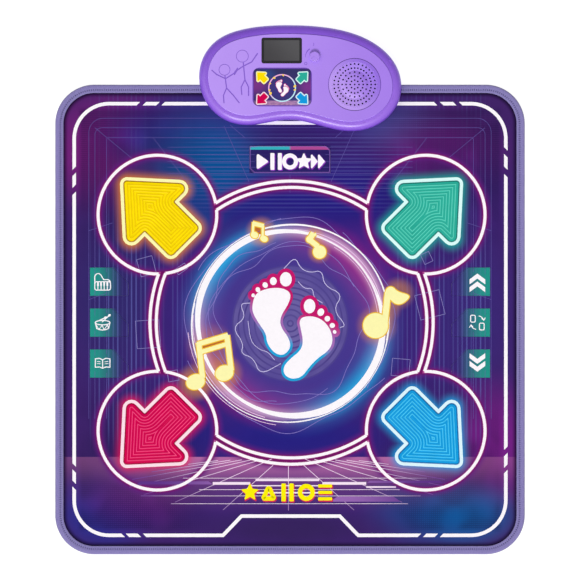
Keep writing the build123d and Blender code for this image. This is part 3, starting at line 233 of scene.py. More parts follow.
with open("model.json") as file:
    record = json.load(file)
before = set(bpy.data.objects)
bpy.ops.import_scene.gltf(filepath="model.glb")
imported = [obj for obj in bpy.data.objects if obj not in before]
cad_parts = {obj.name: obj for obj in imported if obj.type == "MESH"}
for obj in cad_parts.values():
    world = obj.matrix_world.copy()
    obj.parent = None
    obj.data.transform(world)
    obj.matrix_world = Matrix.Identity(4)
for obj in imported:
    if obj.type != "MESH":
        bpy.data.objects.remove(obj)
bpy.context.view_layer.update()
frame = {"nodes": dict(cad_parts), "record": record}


# --- Places from the frame --------------------------------------------------------------------------
def box_mm(node):
    """A node's lowest and highest corners, in millimetres."""
    low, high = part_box(node)
    return Vector(low) / MM, Vector(high) / MM


def middle(node):
    low, high = box_mm(node)
    return (low + high) / 2


COVER_LOW, COVER_HIGH = box_mm("printed_cover")
MAT_TOP = COVER_HIGH.z
COVER_BOTTOM = COVER_LOW.z
BINDING_HIGH = box_mm("edge_binding")[1]
MAT_HALF = BINDING_HIGH.x
PAD_PLACE = {}
for pad, (sx, sy) in PADS.items():
    at = middle("arrow_window_" + pad)
    PAD_PLACE[pad] = Vector((at.x + sx * ARROW_BOX_SHIFT, at.y + sy * ARROW_BOX_SHIFT))
FIELD = sum(PAD_PLACE.values(), Vector((0, 0))) / len(PAD_PLACE)
PAD_OFFSET = PAD_PLACE["back_right"] - FIELD
GLOW_CENTRE = (FIELD.x - 2.5, FIELD.y - 1.5)
START = middle("key_start")
PLATEAU_Z = box_mm("top_shell")[1].z
# where the cloth lies still, as low and high corners
STILL = [box_mm("arrow_window_" + pad) for pad in PADS]
STILL += [box_mm("key_" + name) for name in SIDE_KEYS + ["start"]]
STILL.append(box_mm("base_shell"))


# --- Colour and material helpers --------------------------------------------------------------------
def tone(code):
    """A linear colour from a hex code."""
    parts = [int(code[i : i + 2], 16) / 255 for i in (1, 3, 5)]
    return [p / 12.92 if p <= 0.04045 else ((p + 0.055) / 1.055) ** 2.4 for p in parts] + [1.0]


class Net:
    """Short calls that add shader nodes and return the socket that comes out."""

    def __init__(self, name):
        self.material = bpy.data.materials.new(name)
        self.material.use_nodes = True
        self.tree = self.material.node_tree
        self.shader = self.tree.nodes["Principled BSDF"]
        coords = self.tree.nodes.new("ShaderNodeTexCoord").outputs["Object"]
        self.metres = coords
        self.mm = self.vector("SCALE", coords, scale=1 / MM)

    def plug(self, socket, value):
        if isinstance(value, bpy.types.NodeSocket):
            self.tree.links.new(value, socket)
        else:
            socket.default_value = value

    def math(self, operation, a, b=0.0, c=0.0, clamp=False):
        node = self.tree.nodes.new("ShaderNodeMath")
        node.operation = operation
        node.use_clamp = clamp
        for socket, value in zip(node.inputs, (a, b, c)):
            self.plug(socket, value)
        return node.outputs[0]

    def vector(self, operation, a, b=(0, 0, 0), scale=1.0):
        node = self.tree.nodes.new("ShaderNodeVectorMath")
        node.operation = operation
        self.plug(node.inputs[0], a)
        if operation == "SCALE":
            self.plug(node.inputs["Scale"], scale)
        elif len(node.inputs) > 1:
            self.plug(node.inputs[1], b)
        return node.outputs["Value" if operation in ("LENGTH", "DOT_PRODUCT", "DISTANCE") else "Vector"]

    def split(self, a):
        node = self.tree.nodes.new("ShaderNodeSeparateXYZ")
        self.plug(node.inputs[0], a)
        return node.outputs

    def join(self, x, y, z=0.0):
        node = self.tree.nodes.new("ShaderNodeCombineXYZ")
        for socket, value in zip(node.inputs, (x, y, z)):
            self.plug(socket, value)
        return node.outputs[0]

    def fade(self, a, low, high, to_low=0.0, to_high=1.0, smooth=True):
        """to_low below low, to_high above high, and a smooth step between."""
        node = self.tree.nodes.new("ShaderNodeMapRange")
        node.interpolation_type = "SMOOTHSTEP" if smooth else "LINEAR"
        for name, value in (
            ("Value", a),
            ("From Min", low),
            ("From Max", high),
            ("To Min", to_low),
            ("To Max", to_high),
        ):
            self.plug(node.inputs[name], value)
        return node.outputs[0]

    def mix(self, share, a, b, kind="MIX"):
        node = self.tree.nodes.new("ShaderNodeMix")
        node.data_type = "RGBA"
        node.blend_type = kind
        self.plug(node.inputs[0], share)
        self.plug(node.inputs[6], a)
        self.plug(node.inputs[7], b)
        return node.outputs[2]

    def noise(self, scale, detail=3.0, where=None, rough=0.5):
        node = self.tree.nodes.new("ShaderNodeTexNoise")
        self.plug(node.inputs["Vector"], where or self.metres)
        node.inputs["Scale"].default_value = scale
        node.inputs["Detail"].default_value = detail
        node.inputs["Roughness"].default_value = rough
        return node.outputs["Fac"]

    def stripes(self, along, pitch, share):
        """Lines across a coordinate: 1 on the line, and 0 between."""
        wave = self.math("PINGPONG", along, pitch / 2)
        return self.fade(wave, pitch / 2 * (1 - 2 * share), pitch / 2 * (1 - share))

    def mottle(self, color, source, low, high):
        """A colour made lighter and darker by a noise, between two shares of itself."""
        shade = self.fade(source, 0.3, 0.7, low, high, smooth=False)
        return self.mix(1.0, color, self.join(shade, shade, shade), "MULTIPLY")

    def times(self, a, b):
        return self.math("MULTIPLY", a, b)

    def minus(self, a, b):
        return self.math("SUBTRACT", a, b)

    def plus(self, a, b):
        return self.math("ADD", a, b)

    def larger(self, a, b):
        return self.math("MAXIMUM", a, b)

    def size(self, a):
        return self.math("ABSOLUTE", a)

    def uneven(self, scale, detail, low, high):
        """A value that wanders between two others, such as a roughness."""
        return self.fade(self.noise(scale, detail), 0.3, 0.7, low, high)

    def bump(self, height, strength, distance):
        node = self.tree.nodes.new("ShaderNodeBump")
        node.inputs["Strength"].default_value = strength
        node.inputs["Distance"].default_value = distance
        self.plug(node.inputs["Height"], height)
        self.plug(self.shader.inputs["Normal"], node.outputs[0])

    def finish(self, color, rough, **fixed):
        self.plug(self.shader.inputs["Base Color"], color)
        self.plug(self.shader.inputs["Roughness"], rough)
        for name, value in fixed.items():
            self.shader.inputs[name.replace("_", " ")].default_value = value
        return self.material


def arrow_distance(net, u, v):
    """How far a point outside an arrow is from it, with u towards the tip and v across, not negative."""
    round_off = 9.0
    tip, head = ARROW_TIP - round_off * 1.43, ARROW_HEAD_HALF - round_off * 2.4
    back, shaft = ARROW_BACK + round_off, ARROW_SHAFT_HALF - round_off
    tail = ARROW_TAIL + round_off
    corners = [(tip, 0), (back, head), (back, shaft), (tail, shaft), (tail, 0)]
    nearest = None
    for (ax, ay), (bx, by) in zip(corners, corners[1:]):
        along = Vector((bx - ax, by - ay))
        px, py = net.minus(u, ax), net.minus(v, ay)
        dot = net.times(px, along.x / along.length_squared)
        share = net.math("MULTIPLY_ADD", py, along.y / along.length_squared, dot, clamp=True)
        dx = net.minus(px, net.times(share, along.x))
        dy = net.minus(py, net.times(share, along.y))
        far = net.vector("LENGTH", net.join(dx, dy))
        nearest = far if nearest is None else net.math("MINIMUM", nearest, far)
    return net.minus(nearest, round_off)


def print_color(net):
    """The printed picture's soft parts: patches, fine screens, neon halos, the floor and the side tiles, with
    painted shade beside the binding.
    """
    flat = net.vector("MULTIPLY", net.mm, (1, 1, 0))
    x, y, _ = net.split(flat)
    color = tone("#45246c")
    for (px, py), (rx, ry), code, strength in PATCHES:
        away = net.vector("MULTIPLY", net.vector("SUBTRACT", flat, (px, py, 0)), (1 / rx, 1 / ry, 0))
        share = net.fade(net.vector("LENGTH", away), 0.15, 1.25, strength, 0.0)
        color = net.mix(share, color, tone(code))

    # fine screens: scan lines at the top, upright lines at the sides, a pixel grid in the corners
    pale = tone("#6f74c8")
    ax = net.size(x)
    ay = net.size(y)
    band = net.times(net.fade(y, 195, 225), net.fade(y, 330, 375, 1, 0))
    band = net.times(band, net.fade(ax, 120, 260, 1, 0))
    scan = net.times(net.stripes(y, 7.8, 0.28), net.times(band, 0.18))
    color = net.mix(scan, color, pale)
    sides = net.times(net.fade(ax, 150, 260), net.fade(ax, 372, 392, 1, 0))
    sides = net.times(sides, net.fade(y, 60, 260, 1, 0.25))
    sides = net.times(sides, net.fade(y, -262, -200))
    gate = net.fade(net.noise(0.11, 0, net.join(x, 3.0)), 0.35, 0.7)
    upright = net.times(net.stripes(x, 8.8, 0.2), net.times(sides, gate))
    color = net.mix(net.times(upright, 0.45), color, pale)
    grid = net.larger(net.stripes(x, 3.85, 0.45), net.stripes(y, 3.85, 0.45))
    corner = net.times(net.fade(ax, 110, 290), net.fade(ay, 60, 300))
    corner = net.times(corner, net.fade(net.noise(0.012, 1, flat), 0.25, 0.5, 0.35, 1))
    inside = net.times(net.fade(ax, 396, 410, 1, 0), net.fade(ay, 396, 410, 1, 0))
    grid = net.times(grid, net.times(corner, inside))
    color = net.mix(net.times(grid, 0.6), color, tone("#140e44"))

    # the floor: a bright haze from the horizon, crossed by bars
    depth = net.minus(FLOOR_TOP, y)
    on_floor = net.times(net.fade(depth, 0, 1.2), net.fade(depth, 55, 115, 1, 0))
    haze = net.times(on_floor, net.fade(ax, 150, 400, 1, 0.30))
    near = net.fade(depth, 0, 62, 0.78, 0.12)
    color = net.mix(net.times(haze, near), color, tone("#d27ab8"))

    # the big double ring and the four circles, with their magenta halo
    q = net.vector("ABSOLUTE", net.vector("SUBTRACT", flat, (*FIELD, 0)))
    q = net.vector("SUBTRACT", q, (*PAD_OFFSET, 0))
    from_pad = net.vector("LENGTH", q)
    from_field = net.vector("DISTANCE", flat, (*FIELD, 0))
    outside = net.fade(from_pad, CIRCLE_R - 1, CIRCLE_R + 1)
    ring_mid, ring_half = (RING_OUTER + RING_INNER) / 2, (RING_OUTER - RING_INNER) / 2
    off_ring = net.size(net.minus(from_field, ring_mid))
    off_ring = net.minus(off_ring, ring_half)
    off_circle = net.size(net.minus(from_pad, CIRCLE_R))
    for low, high, code, strength in (
        (3, 17, "#6a1f86", 0.75),
        (2, 9, "#7a0a64", 0.95),
        (2.4, 4.6, "#d05cae", 0.9),
    ):
        ring_glow = net.times(net.fade(off_ring, low, high, strength, 0), outside)
        if high < 5:
            ring_glow = net.times(ring_glow, net.fade(off_ring, -4.5, -2.5))
        circle_glow = net.fade(off_circle, low, high, strength, 0)
        if high < 5:
            circle_glow = net.times(circle_glow, net.fade(off_ring, -3.5, -1.5))
        color = net.mix(net.larger(ring_glow, circle_glow), color, tone(code))

    # the arrows' halos, each in its own colour
    qx, qy, _ = net.split(q)
    u = net.times(net.plus(qx, qy), math.sqrt(0.5))
    v = net.times(net.size(net.minus(qx, qy)), math.sqrt(0.5))
    away = arrow_distance(net, u, v)
    right, back = net.fade(x, -1, 1), net.fade(y, -1, 1)
    halo_back = net.mix(right, tone(PAD_TONES["back_left"][3]), tone(PAD_TONES["back_right"][3]))
    halo_front = net.mix(right, tone(PAD_TONES["front_left"][3]), tone(PAD_TONES["front_right"][3]))
    halo = net.mix(back, halo_front, halo_back)
    strength = net.math("POWER", net.fade(away, 5, 27, 1, 0, smooth=False), 2.2)
    color = net.mix(net.times(strength, 0.85), color, halo)

    # the glowing ring in the middle
    g = net.vector("SUBTRACT", flat, (*GLOW_CENTRE, 0))
    r = net.vector("LENGTH", g)
    way = net.vector("NORMALIZE", g)
    disc = net.fade(r, GLOW_R - 30, GLOW_R + 2, 0.92, 0)
    color = net.mix(disc, color, tone("#4a3b98"))
    haze = net.fade(r, 30, 125, 0.35, 0)
    color = net.mix(haze, color, tone("#7a6cb4"))
    target = net.fade(net.noise(0.02, 1, g), 0.3, 0.62, 0.5, 1)
    target = net.times(net.fade(r, 108, 113, 1, 0), target)
    color = net.mix(net.times(target, 0.22), color, tone("#a79ccc"))
    rings = net.times(net.stripes(r, 10.5, 0.2), target)
    color = net.mix(net.times(rings, 0.62), color, tone("#3a2b80"))
    band = net.size(net.minus(r, GLOW_R - 3))
    inner = net.math("LESS_THAN", r, GLOW_R)
    cool = net.size(net.vector("DOT_PRODUCT", way, (-0.78, 0.62, 0)))
    warm = net.size(net.vector("DOT_PRODUCT", way, (0.72, 0.69, 0)))
    cool = net.math("POWER", cool, 2.5)
    warm = net.math("POWER", warm, 2.2)
    for low, high, code, share, strength in (
        (2, 50, "#0a78cc", cool, 0.95),
        (2, 30, "#2fb2ee", cool, 0.95),
        (2, 42, "#a01c86", warm, 0.85),
        (1, 20, "#f0b4e4", warm, 0.75),
        (1, 15, "#e6dcff", net.minus(1.0, cool), 0.50),
    ):
        spread = net.math("POWER", net.fade(band, low, high, 1, 0, smooth=False), 1.5)
        color = net.mix(net.times(net.times(spread, share), strength), color, tone(code))
    core = net.times(inner, net.fade(band, 6, 70, 0.35, 0))
    color = net.mix(net.times(core, warm), color, tone("#c23a9a"))

    # glows behind the notes
    for px, py, reach, strength in NOTE_GLOWS:
        away = net.vector("DISTANCE", flat, (px, py, 0))
        color = net.mix(net.fade(away, reach * 0.35, reach, strength, 0), color, tone("#e8952a"))

    # the side tiles: teal at the outer edge, fading inwards
    for name in SIDE_KEYS:
        low, high = box_mm("key_" + name)
        side = 1 if low.x > 0 else -1
        edge = high.x if side > 0 else low.x
        inward = net.times(net.minus(edge, x), side)
        rise = net.minus(y, middle("key_" + name).y)
        half = (high.y - low.y) / 2 + 0.4
        here = net.math("LESS_THAN", net.size(rise), half)
        here = net.times(here, net.math("GREATER_THAN", inward, -0.4))
        slant = net.plus(inward, net.larger(rise, 0.0))
        here = net.times(here, net.fade(slant, 66, 78, 1, 0))
        share = net.times(here, net.fade(inward, 0, 66, 1.0, 0.0))
        color = net.mix(net.times(share, 0.95), color, tone("#23a292"))

    # the start key's panel
    low, high = box_mm("key_start")
    dx = net.minus(net.size(net.minus(x, START.x)), (high.x - low.x) / 2)
    dy = net.minus(net.size(net.minus(y, START.y)), (high.y - low.y) / 2)
    panel = net.fade(net.larger(dx, dy), -0.5, 0.5, 1, 0)
    color = net.mix(net.times(panel, 0.85), color, tone("#2c1c66"))

    # painted shade: the print is darkened beside the binding, as if shaded by the binding's raised edge
    far_x = net.minus(ax, MAT_HALF - MAT_RADIUS)
    far_y = net.minus(ay, MAT_HALF - MAT_RADIUS)
    bend = net.vector("LENGTH", net.join(net.larger(far_x, 0.0), net.larger(far_y, 0.0)))
    inset = net.minus(MAT_RADIUS, bend)
    shade = net.fade(inset, BINDING_WIDTH, BINDING_WIDTH + 10, 0.92, 0)
    color = net.mix(shade, color, tone("#14062c"))
    return net.mix(1.0, color, (PRINT_DEPTH, PRINT_DEPTH, PRINT_DEPTH, 1), "MULTIPLY")


def finish_ink(net, color, rough=0.44, grain=0.07):
    """A dull ink in a colour, with the cover's fine embossed grain."""
    height = net.plus(net.noise(2600, 2), net.times(net.noise(420, 2), 0.6))
    net.bump(height, grain, 0.0003)
    return net.finish(color, rough, Specular_IOR_Level=INK_GLOSS)


def print_material():
    net = Net("printed_cover")
    color = print_color(net)
    wear = net.fade(net.noise(34, 4), 0.3, 0.75, 0.97, 1.03, smooth=False)
    color = net.mix(1.0, color, net.join(wear, wear, wear), "MULTIPLY")
    return finish_ink(net, color, net.uneven(60, 3, 0.42, 0.52), 0.10)


def ink_material(name, code, rough=0.42):
    """One flat printing ink, with the cover's grain under it."""
    net = Net(name)
    color = net.mottle(tone(code), net.noise(180, 3), 0.965, 1.0)
    return finish_ink(net, color, net.uneven(60, 3, rough - 0.04, rough + 0.06))


def two_tone_ink(name, low_code, high_code, axis, start, end):
    """An ink that runs from one colour to another along an axis, between two places in millimetres."""
    net = Net(name)
    along = net.vector("DOT_PRODUCT", net.mm, axis)
    color = net.mix(net.fade(along, start, end), tone(low_code), tone(high_code))
    return finish_ink(net, color, net.uneven(60, 3, 0.38, 0.48))


def plastic(name, code, rough=0.34, grain=0.05, coat=0.0):
    """Moulded plastic: a faint flow mottle and a fine spark-eroded grain."""
    net = Net(name)
    color = net.mottle(tone(code), net.noise(14, 3), 0.965, 1.02)
    net.bump(net.noise(1900, 2), grain, 0.0002)
    uneven = net.uneven(40, 3, rough - 0.04, rough + 0.05)
    return net.finish(color, uneven, Coat_Weight=coat, Coat_Roughness=0.12)


def metal(name, code, rough=0.32):
    net = Net(name)
    lines = net.noise(90, 2, net.vector("MULTIPLY", net.metres, (40, 1, 1)))
    color = net.mottle(tone(code), lines, 0.9, 1.05)
    return net.finish(color, net.fade(lines, 0.2, 0.8, rough - 0.08, rough + 0.1), Metallic=1.0)


def soft_material(name, code, rough=0.8, scale=900, strength=0.3):
    """Rubber, foam or film: cellular colour and bump."""
    net = Net(name)
    cell = net.noise(scale, 3)
    color = net.mottle(tone(code), cell, 0.88, 1.06)
    net.bump(cell, strength, 0.0003)
    return net.finish(color, rough)


def dotted_rubber():
    """The anti-slip backing: raised dots in rows on dark cloth."""
    net = Net("anti_slip_backing")
    x, y, _ = net.split(net.mm)
    pitch = 6.0
    cell = net.join(net.math("PINGPONG", x, pitch / 2), net.math("PINGPONG", y, pitch / 2))
    dot = net.fade(net.vector("LENGTH", cell), 1.3, 1.9, 1, 0)
    color = net.mix(dot, tone("#2b2830"), tone("#17161b"))
    net.bump(net.plus(dot, net.times(net.noise(1500, 2), 0.2)), 0.5, 0.0006)
    return net.finish(color, net.fade(dot, 0, 1, 0.85, 0.6))


def woven_tape():
    """The edge binding: fine over-and-under weave, heathered violet, with painted shade down its sides."""
    net = Net("woven_tape")
    x, y, z = net.split(net.mm)
    weft = net.stripes(net.plus(x, y), 1.1, 0.5)
    warp = net.stripes(net.minus(x, net.minus(y, z)), 1.1, 0.5)
    weave = net.times(net.plus(weft, warp), 0.5)
    heather = net.noise(520, 4)
    color = net.mix(net.fade(heather, 0.3, 0.7, 0.0, 1.0), tone("#7e74b2"), tone("#8f85be"))
    color = net.mix(net.fade(weave, 0.2, 1.0, 0.22, 0.0), color, tone("#544a86"))
    # painted shade: the tape is darker below its round top, down its sides
    painted_side_shade = net.fade(z, BINDING_HIGH.z - 1.8, BINDING_HIGH.z - 0.5, 0.6, 0)
    color = net.mix(painted_side_shade, color, tone("#625c82"))
    net.bump(net.plus(weave, net.times(heather, 0.5)), 0.35, 0.0004)
    return net.finish(color, 0.78, Sheen_Weight=0.35, Sheen_Roughness=0.5)


# --- Mesh helpers -----------------------------------------------------------------------------------
def dish(x, y):
    """How far the cloth lies below its flat height: small puckers along the binding and faint swells."""
    ax, ay = abs(x), abs(y)
    bend = math.hypot(max(ax - (MAT_HALF - MAT_RADIUS), 0), max(ay - (MAT_HALF - MAT_RADIUS), 0))
    inset = MAT_RADIUS - bend if bend > 0 else MAT_HALF - max(ax, ay)
    near = math.exp(-max(inset - BINDING_WIDTH, 0) / 11)
    pucker = 0.45 + 0.55 * noise.noise(Vector((x / 13, y / 13, 0)))
    free = 1.0
    for low, high in STILL:
        away = math.hypot(max(low.x - x, x - high.x, 0), max(low.y - y, y - high.y, 0))
        free = min(free, away / 30)
    swell = 0.22 * (0.5 + noise.noise(Vector((x / 120, y / 120, 3.0))))
    return free * free * (3 - 2 * free) * (0.5 * near * pucker + max(swell, 0) * (1 - near))


def new_object(name, mesh, body, slot, material, smooth=False):
    """A finished piece from a mesh in millimetres."""
    data = bpy.data.meshes.new(name)
    mesh.normal_update()
    mesh.to_mesh(data)
    mesh.free()
    data.transform(Matrix.Diagonal((MM, MM, MM, 1.0)))
    if smooth:
        data.shade_smooth()
    obj = bpy.data.objects.new(name, data)
    bpy.context.scene.collection.objects.link(obj)
    for one in material if isinstance(material, (list, tuple)) else [material]:
        data.materials.append(one)
    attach(obj, body)
    return obj


def fillet(corners, radii, steps=7):
    """A closed outline with its corners rounded, as points."""
    points = []
    count = len(corners)
    for i, (corner, radius) in enumerate(zip(corners, radii)):
        here = Vector(corner)
        to_last = (Vector(corners[i - 1]) - here).normalized()
        to_next = (Vector(corners[(i + 1) % count]) - here).normalized()
        half = to_last.angle(to_next) / 2
        if radius < 0.01:
            points += [here.copy() for _ in range(steps)]
            continue
        back = radius / math.tan(half)
        centre = here + (to_last + to_next).normalized() * radius / math.sin(half)
        start, end = here + to_last * back - centre, here + to_next * back - centre
        a0 = math.atan2(start.y, start.x)
        turn = (math.atan2(end.y, end.x) - a0 + math.pi) % (2 * math.pi) - math.pi
        for k in range(steps):
            angle = a0 + turn * k / (steps - 1)
            points.append(centre + Vector((math.cos(angle), math.sin(angle))) * radius)
    return points


def grown(corners, amount):
    """A closed anticlockwise outline with its sides moved out by amount."""
    result = []
    for i, corner in enumerate(corners):
        here, last = Vector(corner), Vector(corners[i - 1])
        following = Vector(corners[(i + 1) % len(corners)])
        a, b = (here - last).normalized(), (following - here).normalized()
        na, nb = Vector((a.y, -a.x)), Vector((b.y, -b.x))
        result.append(here + (na + nb) * amount / (1 + na.dot(nb)))
    return result


def arc(x, y, radius, start, end, step=4.0):
    """Points along an arc, in degrees, anticlockwise when end is greater."""
    count = max(2, int(abs(end - start) / step) + 1)
    turns = [math.radians(start + (end - start) * i / (count - 1)) for i in range(count)]
    return [Vector((x + radius * math.cos(t), y + radius * math.sin(t))) for t in turns]


def spaced(points, closed=False):
    """The same line with no stretch longer than INK_STEP."""
    result = []
    pairs = list(zip(points, points[1:] + points[:1])) if closed else list(zip(points, points[1:]))
    for a, b in pairs:
        a, b = Vector(a), Vector(b)
        parts = max(1, math.ceil((b - a).length / INK_STEP))
        result += [a.lerp(b, i / parts) for i in range(parts)]
    if not closed:
        result.append(Vector(points[-1]))
    return result


def close_film(mesh):
    """Gives a sheet of faces an underside and a rim. Returns each vertex's twin, and the underside."""
    mesh.normal_update()
    for face in mesh.faces:
        if face.normal.z < 0:
            face.normal_flip()
    top = mesh.faces[:]
    low = bmesh.ops.duplicate(mesh, geom=top + mesh.verts[:] + mesh.edges[:])
    low_faces = [g for g in low["geom"] if isinstance(g, bmesh.types.BMFace)]
    under = {g for g in low["geom"] if isinstance(g, bmesh.types.BMVert)}
    twin = low["vert_map"]
    rims = []
    for face in top:
        for loop in face.loops:
            if len(loop.edge.link_faces) == 1:
                rims.append((loop.vert, loop.link_loop_next.vert))
    for a, b in rims:
        mesh.faces.new((b, a, twin[a], twin[b]))
    bmesh.ops.reverse_faces(mesh, faces=low_faces)
    return twin, under


def skin(mesh, rings):
    """Faces between each ring of vertices and the next."""
    count = len(rings[0])
    for a, b in zip(rings, rings[1:]):
        for i in range(count):
            j = (i + 1) % count
            mesh.faces.new((a[i], a[j], b[j], b[i]))


class Ink:
    """Flat printing that lies on a surface: it collects strokes and fills, then becomes one piece."""

    def __init__(self, top=None, lift=0.0):
        self.mesh = bmesh.new()
        self.top = top  # a fixed height, a function of x and y, or None to follow the cloth
        self.lift = lift
        self.order = 0  # each stroke or fill lies a hair above the one before it

    def ground(self, x, y):
        """The height of the surface that the printing lies on."""
        if self.top is None:
            return MAT_TOP - dish(x, y)
        return self.top(x, y) if callable(self.top) else self.top

    def stroke(self, points, width, closed=False, slant=(0.0, 0.0)):
        """A line of a width, or of a list of widths. slant leans its two ends, as a share of the width."""
        line = spaced(points, closed) if not isinstance(width, list) else [Vector(p) for p in points]
        count = len(line)
        sides = []
        for i, here in enumerate(line):
            last = line[i - 1] if closed or i > 0 else None
            following = line[(i + 1) % count] if closed or i < count - 1 else None
            a = (here - last).normalized() if last is not None else (following - here).normalized()
            b = (following - here).normalized() if following is not None else a
            na, nb = Vector((-a.y, a.x)), Vector((-b.y, b.x))
            out = (na + nb) / max(1 + na.dot(nb), 0.35)
            half = (width[i] if isinstance(width, list) else width) / 2
            lean = Vector((0, 0))
            if not closed and i == 0:
                lean = a * slant[0] * half
            if not closed and i == count - 1:
                lean = b * slant[1] * half
            sides.append((here + out * half + lean, here - out * half - lean))
        self.order += 1
        verts = [[self.mesh.verts.new((p.x, p.y, self.order)) for p in pair] for pair in sides]
        for i in range(count if closed else count - 1):
            (a, b), (c, d) = verts[i], verts[(i + 1) % count]
            self.mesh.faces.new((b, d, c, a))

    def fill(self, points):
        """A filled outline, cut on a grid so that it can follow the cloth."""
        patch = bmesh.new()
        patch.faces.new([patch.verts.new((p[0], p[1], 0)) for p in points])
        patch.normal_update()
        face = patch.faces[:][0]
        if face.normal.z < 0:
            face.normal_flip()
        if self.top is None or callable(self.top):
            for axis in (0, 1):
                values = [p[axis] for p in points]
                at = math.ceil(min(values) / INK_STEP) * INK_STEP
                while at < max(values):
                    spot, normal = [0, 0, 0], [0, 0, 0]
                    spot[axis], normal[axis] = at, 1
                    geometry = patch.verts[:] + patch.edges[:] + patch.faces[:]
                    bmesh.ops.bisect_plane(patch, geom=geometry, plane_co=spot, plane_no=normal)
                    at += INK_STEP
        bmesh.ops.triangulate(patch, faces=patch.faces[:])
        self.order += 1
        copy = {v: self.mesh.verts.new((v.co.x, v.co.y, self.order)) for v in patch.verts}
        for face in patch.faces:
            self.mesh.faces.new([copy[v] for v in face.verts])
        patch.free()

    def blob(self, x, y, rx, ry, turn=0.0, count=40):
        """A filled ellipse, turned by degrees."""
        c, s = math.cos(math.radians(turn)), math.sin(math.radians(turn))
        points = []
        for i in range(count):
            a = 2 * math.pi * i / count
            px, py = rx * math.cos(a), ry * math.sin(a)
            points.append((x + px * c - py * s, y + px * s + py * c))
        self.fill(points)

    def piece(self, name, material, body=ROOT, slot="cover"):
        """The printing as a thin closed film."""
        mesh = self.mesh
        bmesh.ops.remove_doubles(mesh, verts=mesh.verts[:], dist=0.005)
        _, under = close_film(mesh)
        for vert in mesh.verts:
            ground = self.ground(vert.co.x, vert.co.y)
            over = INK_T + self.lift + vert.co.z * INK_ORDER
            vert.co.z = ground - INK_SUNK if vert in under else ground + over
        return new_object(name, mesh, body, slot, material)


# --- The cloth: cover and edge binding --------------------------------------------------------------
def rounded_square(half, radius, steps=24):
    corners = [(half, half), (-half, half), (-half, -half), (half, -half)]
    return fillet(corners, [radius] * 4, steps)


def key_outline(node, grow):
    """A side key's outline from its box, moved out by grow."""
    low, high = box_mm(node)
    side = 1 if low.x > 0 else -1
    outer, inner = (high.x, low.x) if side > 0 else (low.x, high.x)
    points = [
        (outer, low.y),
        (outer, high.y),
        (inner + side * KEY_CUT, high.y),
        (inner, high.y - KEY_CUT),
        (inner, low.y),
    ]
    if side < 0:
        points.reverse()
    return fillet(grown(points, grow), [max(KEY_CORNER + grow, 0.4)] * len(points), 4)


def start_outline(grow):
    low, high = box_mm("key_start")
    points = [
        (low.x, high.y),
        (low.x, low.y + START_CUT),
        (low.x + START_CUT, low.y),
        (high.x, low.y),
        (high.x, high.y - START_CUT),
        (high.x - START_CUT, high.y),
    ]
    return fillet(grown(points, grow), [max(KEY_CORNER + grow, 0.4)] * len(points), 4)


def arrow_points(grow, steps=7):
    """An arrow's outline, pointing along +X, moved out by grow."""
    corners = [
        (ARROW_TIP, 0),
        (ARROW_BACK, ARROW_HEAD_HALF),
        (ARROW_BACK, ARROW_SHAFT_HALF),
        (ARROW_TAIL, ARROW_SHAFT_HALF),
        (ARROW_TAIL, -ARROW_SHAFT_HALF),
        (ARROW_BACK, -ARROW_SHAFT_HALF),
        (ARROW_BACK, -ARROW_HEAD_HALF),
    ]
    tip, head, notch, tail = ARROW_RADII
    outer = [r + grow for r in (tip, head, tail)]
    notch = max(notch - grow, 0.0)
    radii = [outer[0], outer[1], notch, outer[2], outer[2], notch, outer[1]]
    return fillet(grown(corners, grow), radii, steps)


def placed(points, pad):
    """Points of an arrow's own frame, put at its pad."""
    sx, sy = PADS[pad]
    turn = math.atan2(sy, sx)
    c, s = math.cos(turn), math.sin(turn)
    at = PAD_PLACE[pad]
    return [Vector((at.x + p[0] * c - p[1] * s, at.y + p[0] * s + p[1] * c)) for p in points]


def opening_knife():
    """Upright blocks in the shape of the cover's openings."""
    outlines = [placed(arrow_points(WINDOW_GAP), pad) for pad in PADS]
    outlines += [key_outline("key_" + name, WINDOW_GAP) for name in SIDE_KEYS]
    outlines.append(start_outline(WINDOW_GAP))
    knife = bmesh.new()
    for outline in outlines:
        low_loop = [knife.verts.new((p[0], p[1], COVER_BOTTOM - 5)) for p in tidy_loop(outline)]
        face = knife.faces.new(low_loop)
        grown_part = bmesh.ops.extrude_face_region(knife, geom=[face])
        for v in (g for g in grown_part["geom"] if isinstance(g, bmesh.types.BMVert)):
            v.co.z = MAT_TOP + 5
    bmesh.ops.recalc_face_normals(knife, faces=knife.faces[:])
    data = bpy.data.meshes.new("knife")
    knife.to_mesh(data)
    knife.free()
    data.transform(Matrix.Diagonal((MM, MM, MM, 1.0)))
    return bpy.data.objects.new("knife", data)


def make_cover():
    """The printed cover: one sheet that dips at its puckers, with openings for the windows and keys."""
    half = MAT_HALF - BINDING_T
    count = round(2 * half / COVER_STEP)
    mesh = bmesh.new()
    bmesh.ops.create_grid(mesh, x_segments=count, y_segments=count, size=half)
    corner = MAT_HALF - MAT_RADIUS
    for vert in mesh.verts:
        x, y = vert.co.x, vert.co.y
        bx, by = abs(x) - corner, abs(y) - corner
        if bx > 0 and by > 0:
            far = max(bx, by) / math.hypot(bx, by)
            vert.co.x = math.copysign(corner + bx * far, x)
            vert.co.y = math.copysign(corner + by * far, y)
        vert.co.z = MAT_TOP
    _, under = close_film(mesh)
    for vert in under:
        vert.co.z = COVER_BOTTOM
    cover = new_object("cover", mesh, ROOT, "cover", print_material())
    tool = opening_knife()
    bpy.context.scene.collection.objects.link(tool)
    cut = cover.modifiers.new("openings", "BOOLEAN")
    cut.operation = "DIFFERENCE"
    cut.solver = "EXACT"
    cut.object = tool
    apply_modifiers(cover)
    bpy.data.objects.remove(tool)
    for vert in cover.data.vertices:
        vert.co.z -= dish(vert.co.x / MM, vert.co.y / MM) * MM
    cover.data.shade_smooth()
    smooth_by_angle(cover)
    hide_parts("printed_cover")
    return cover


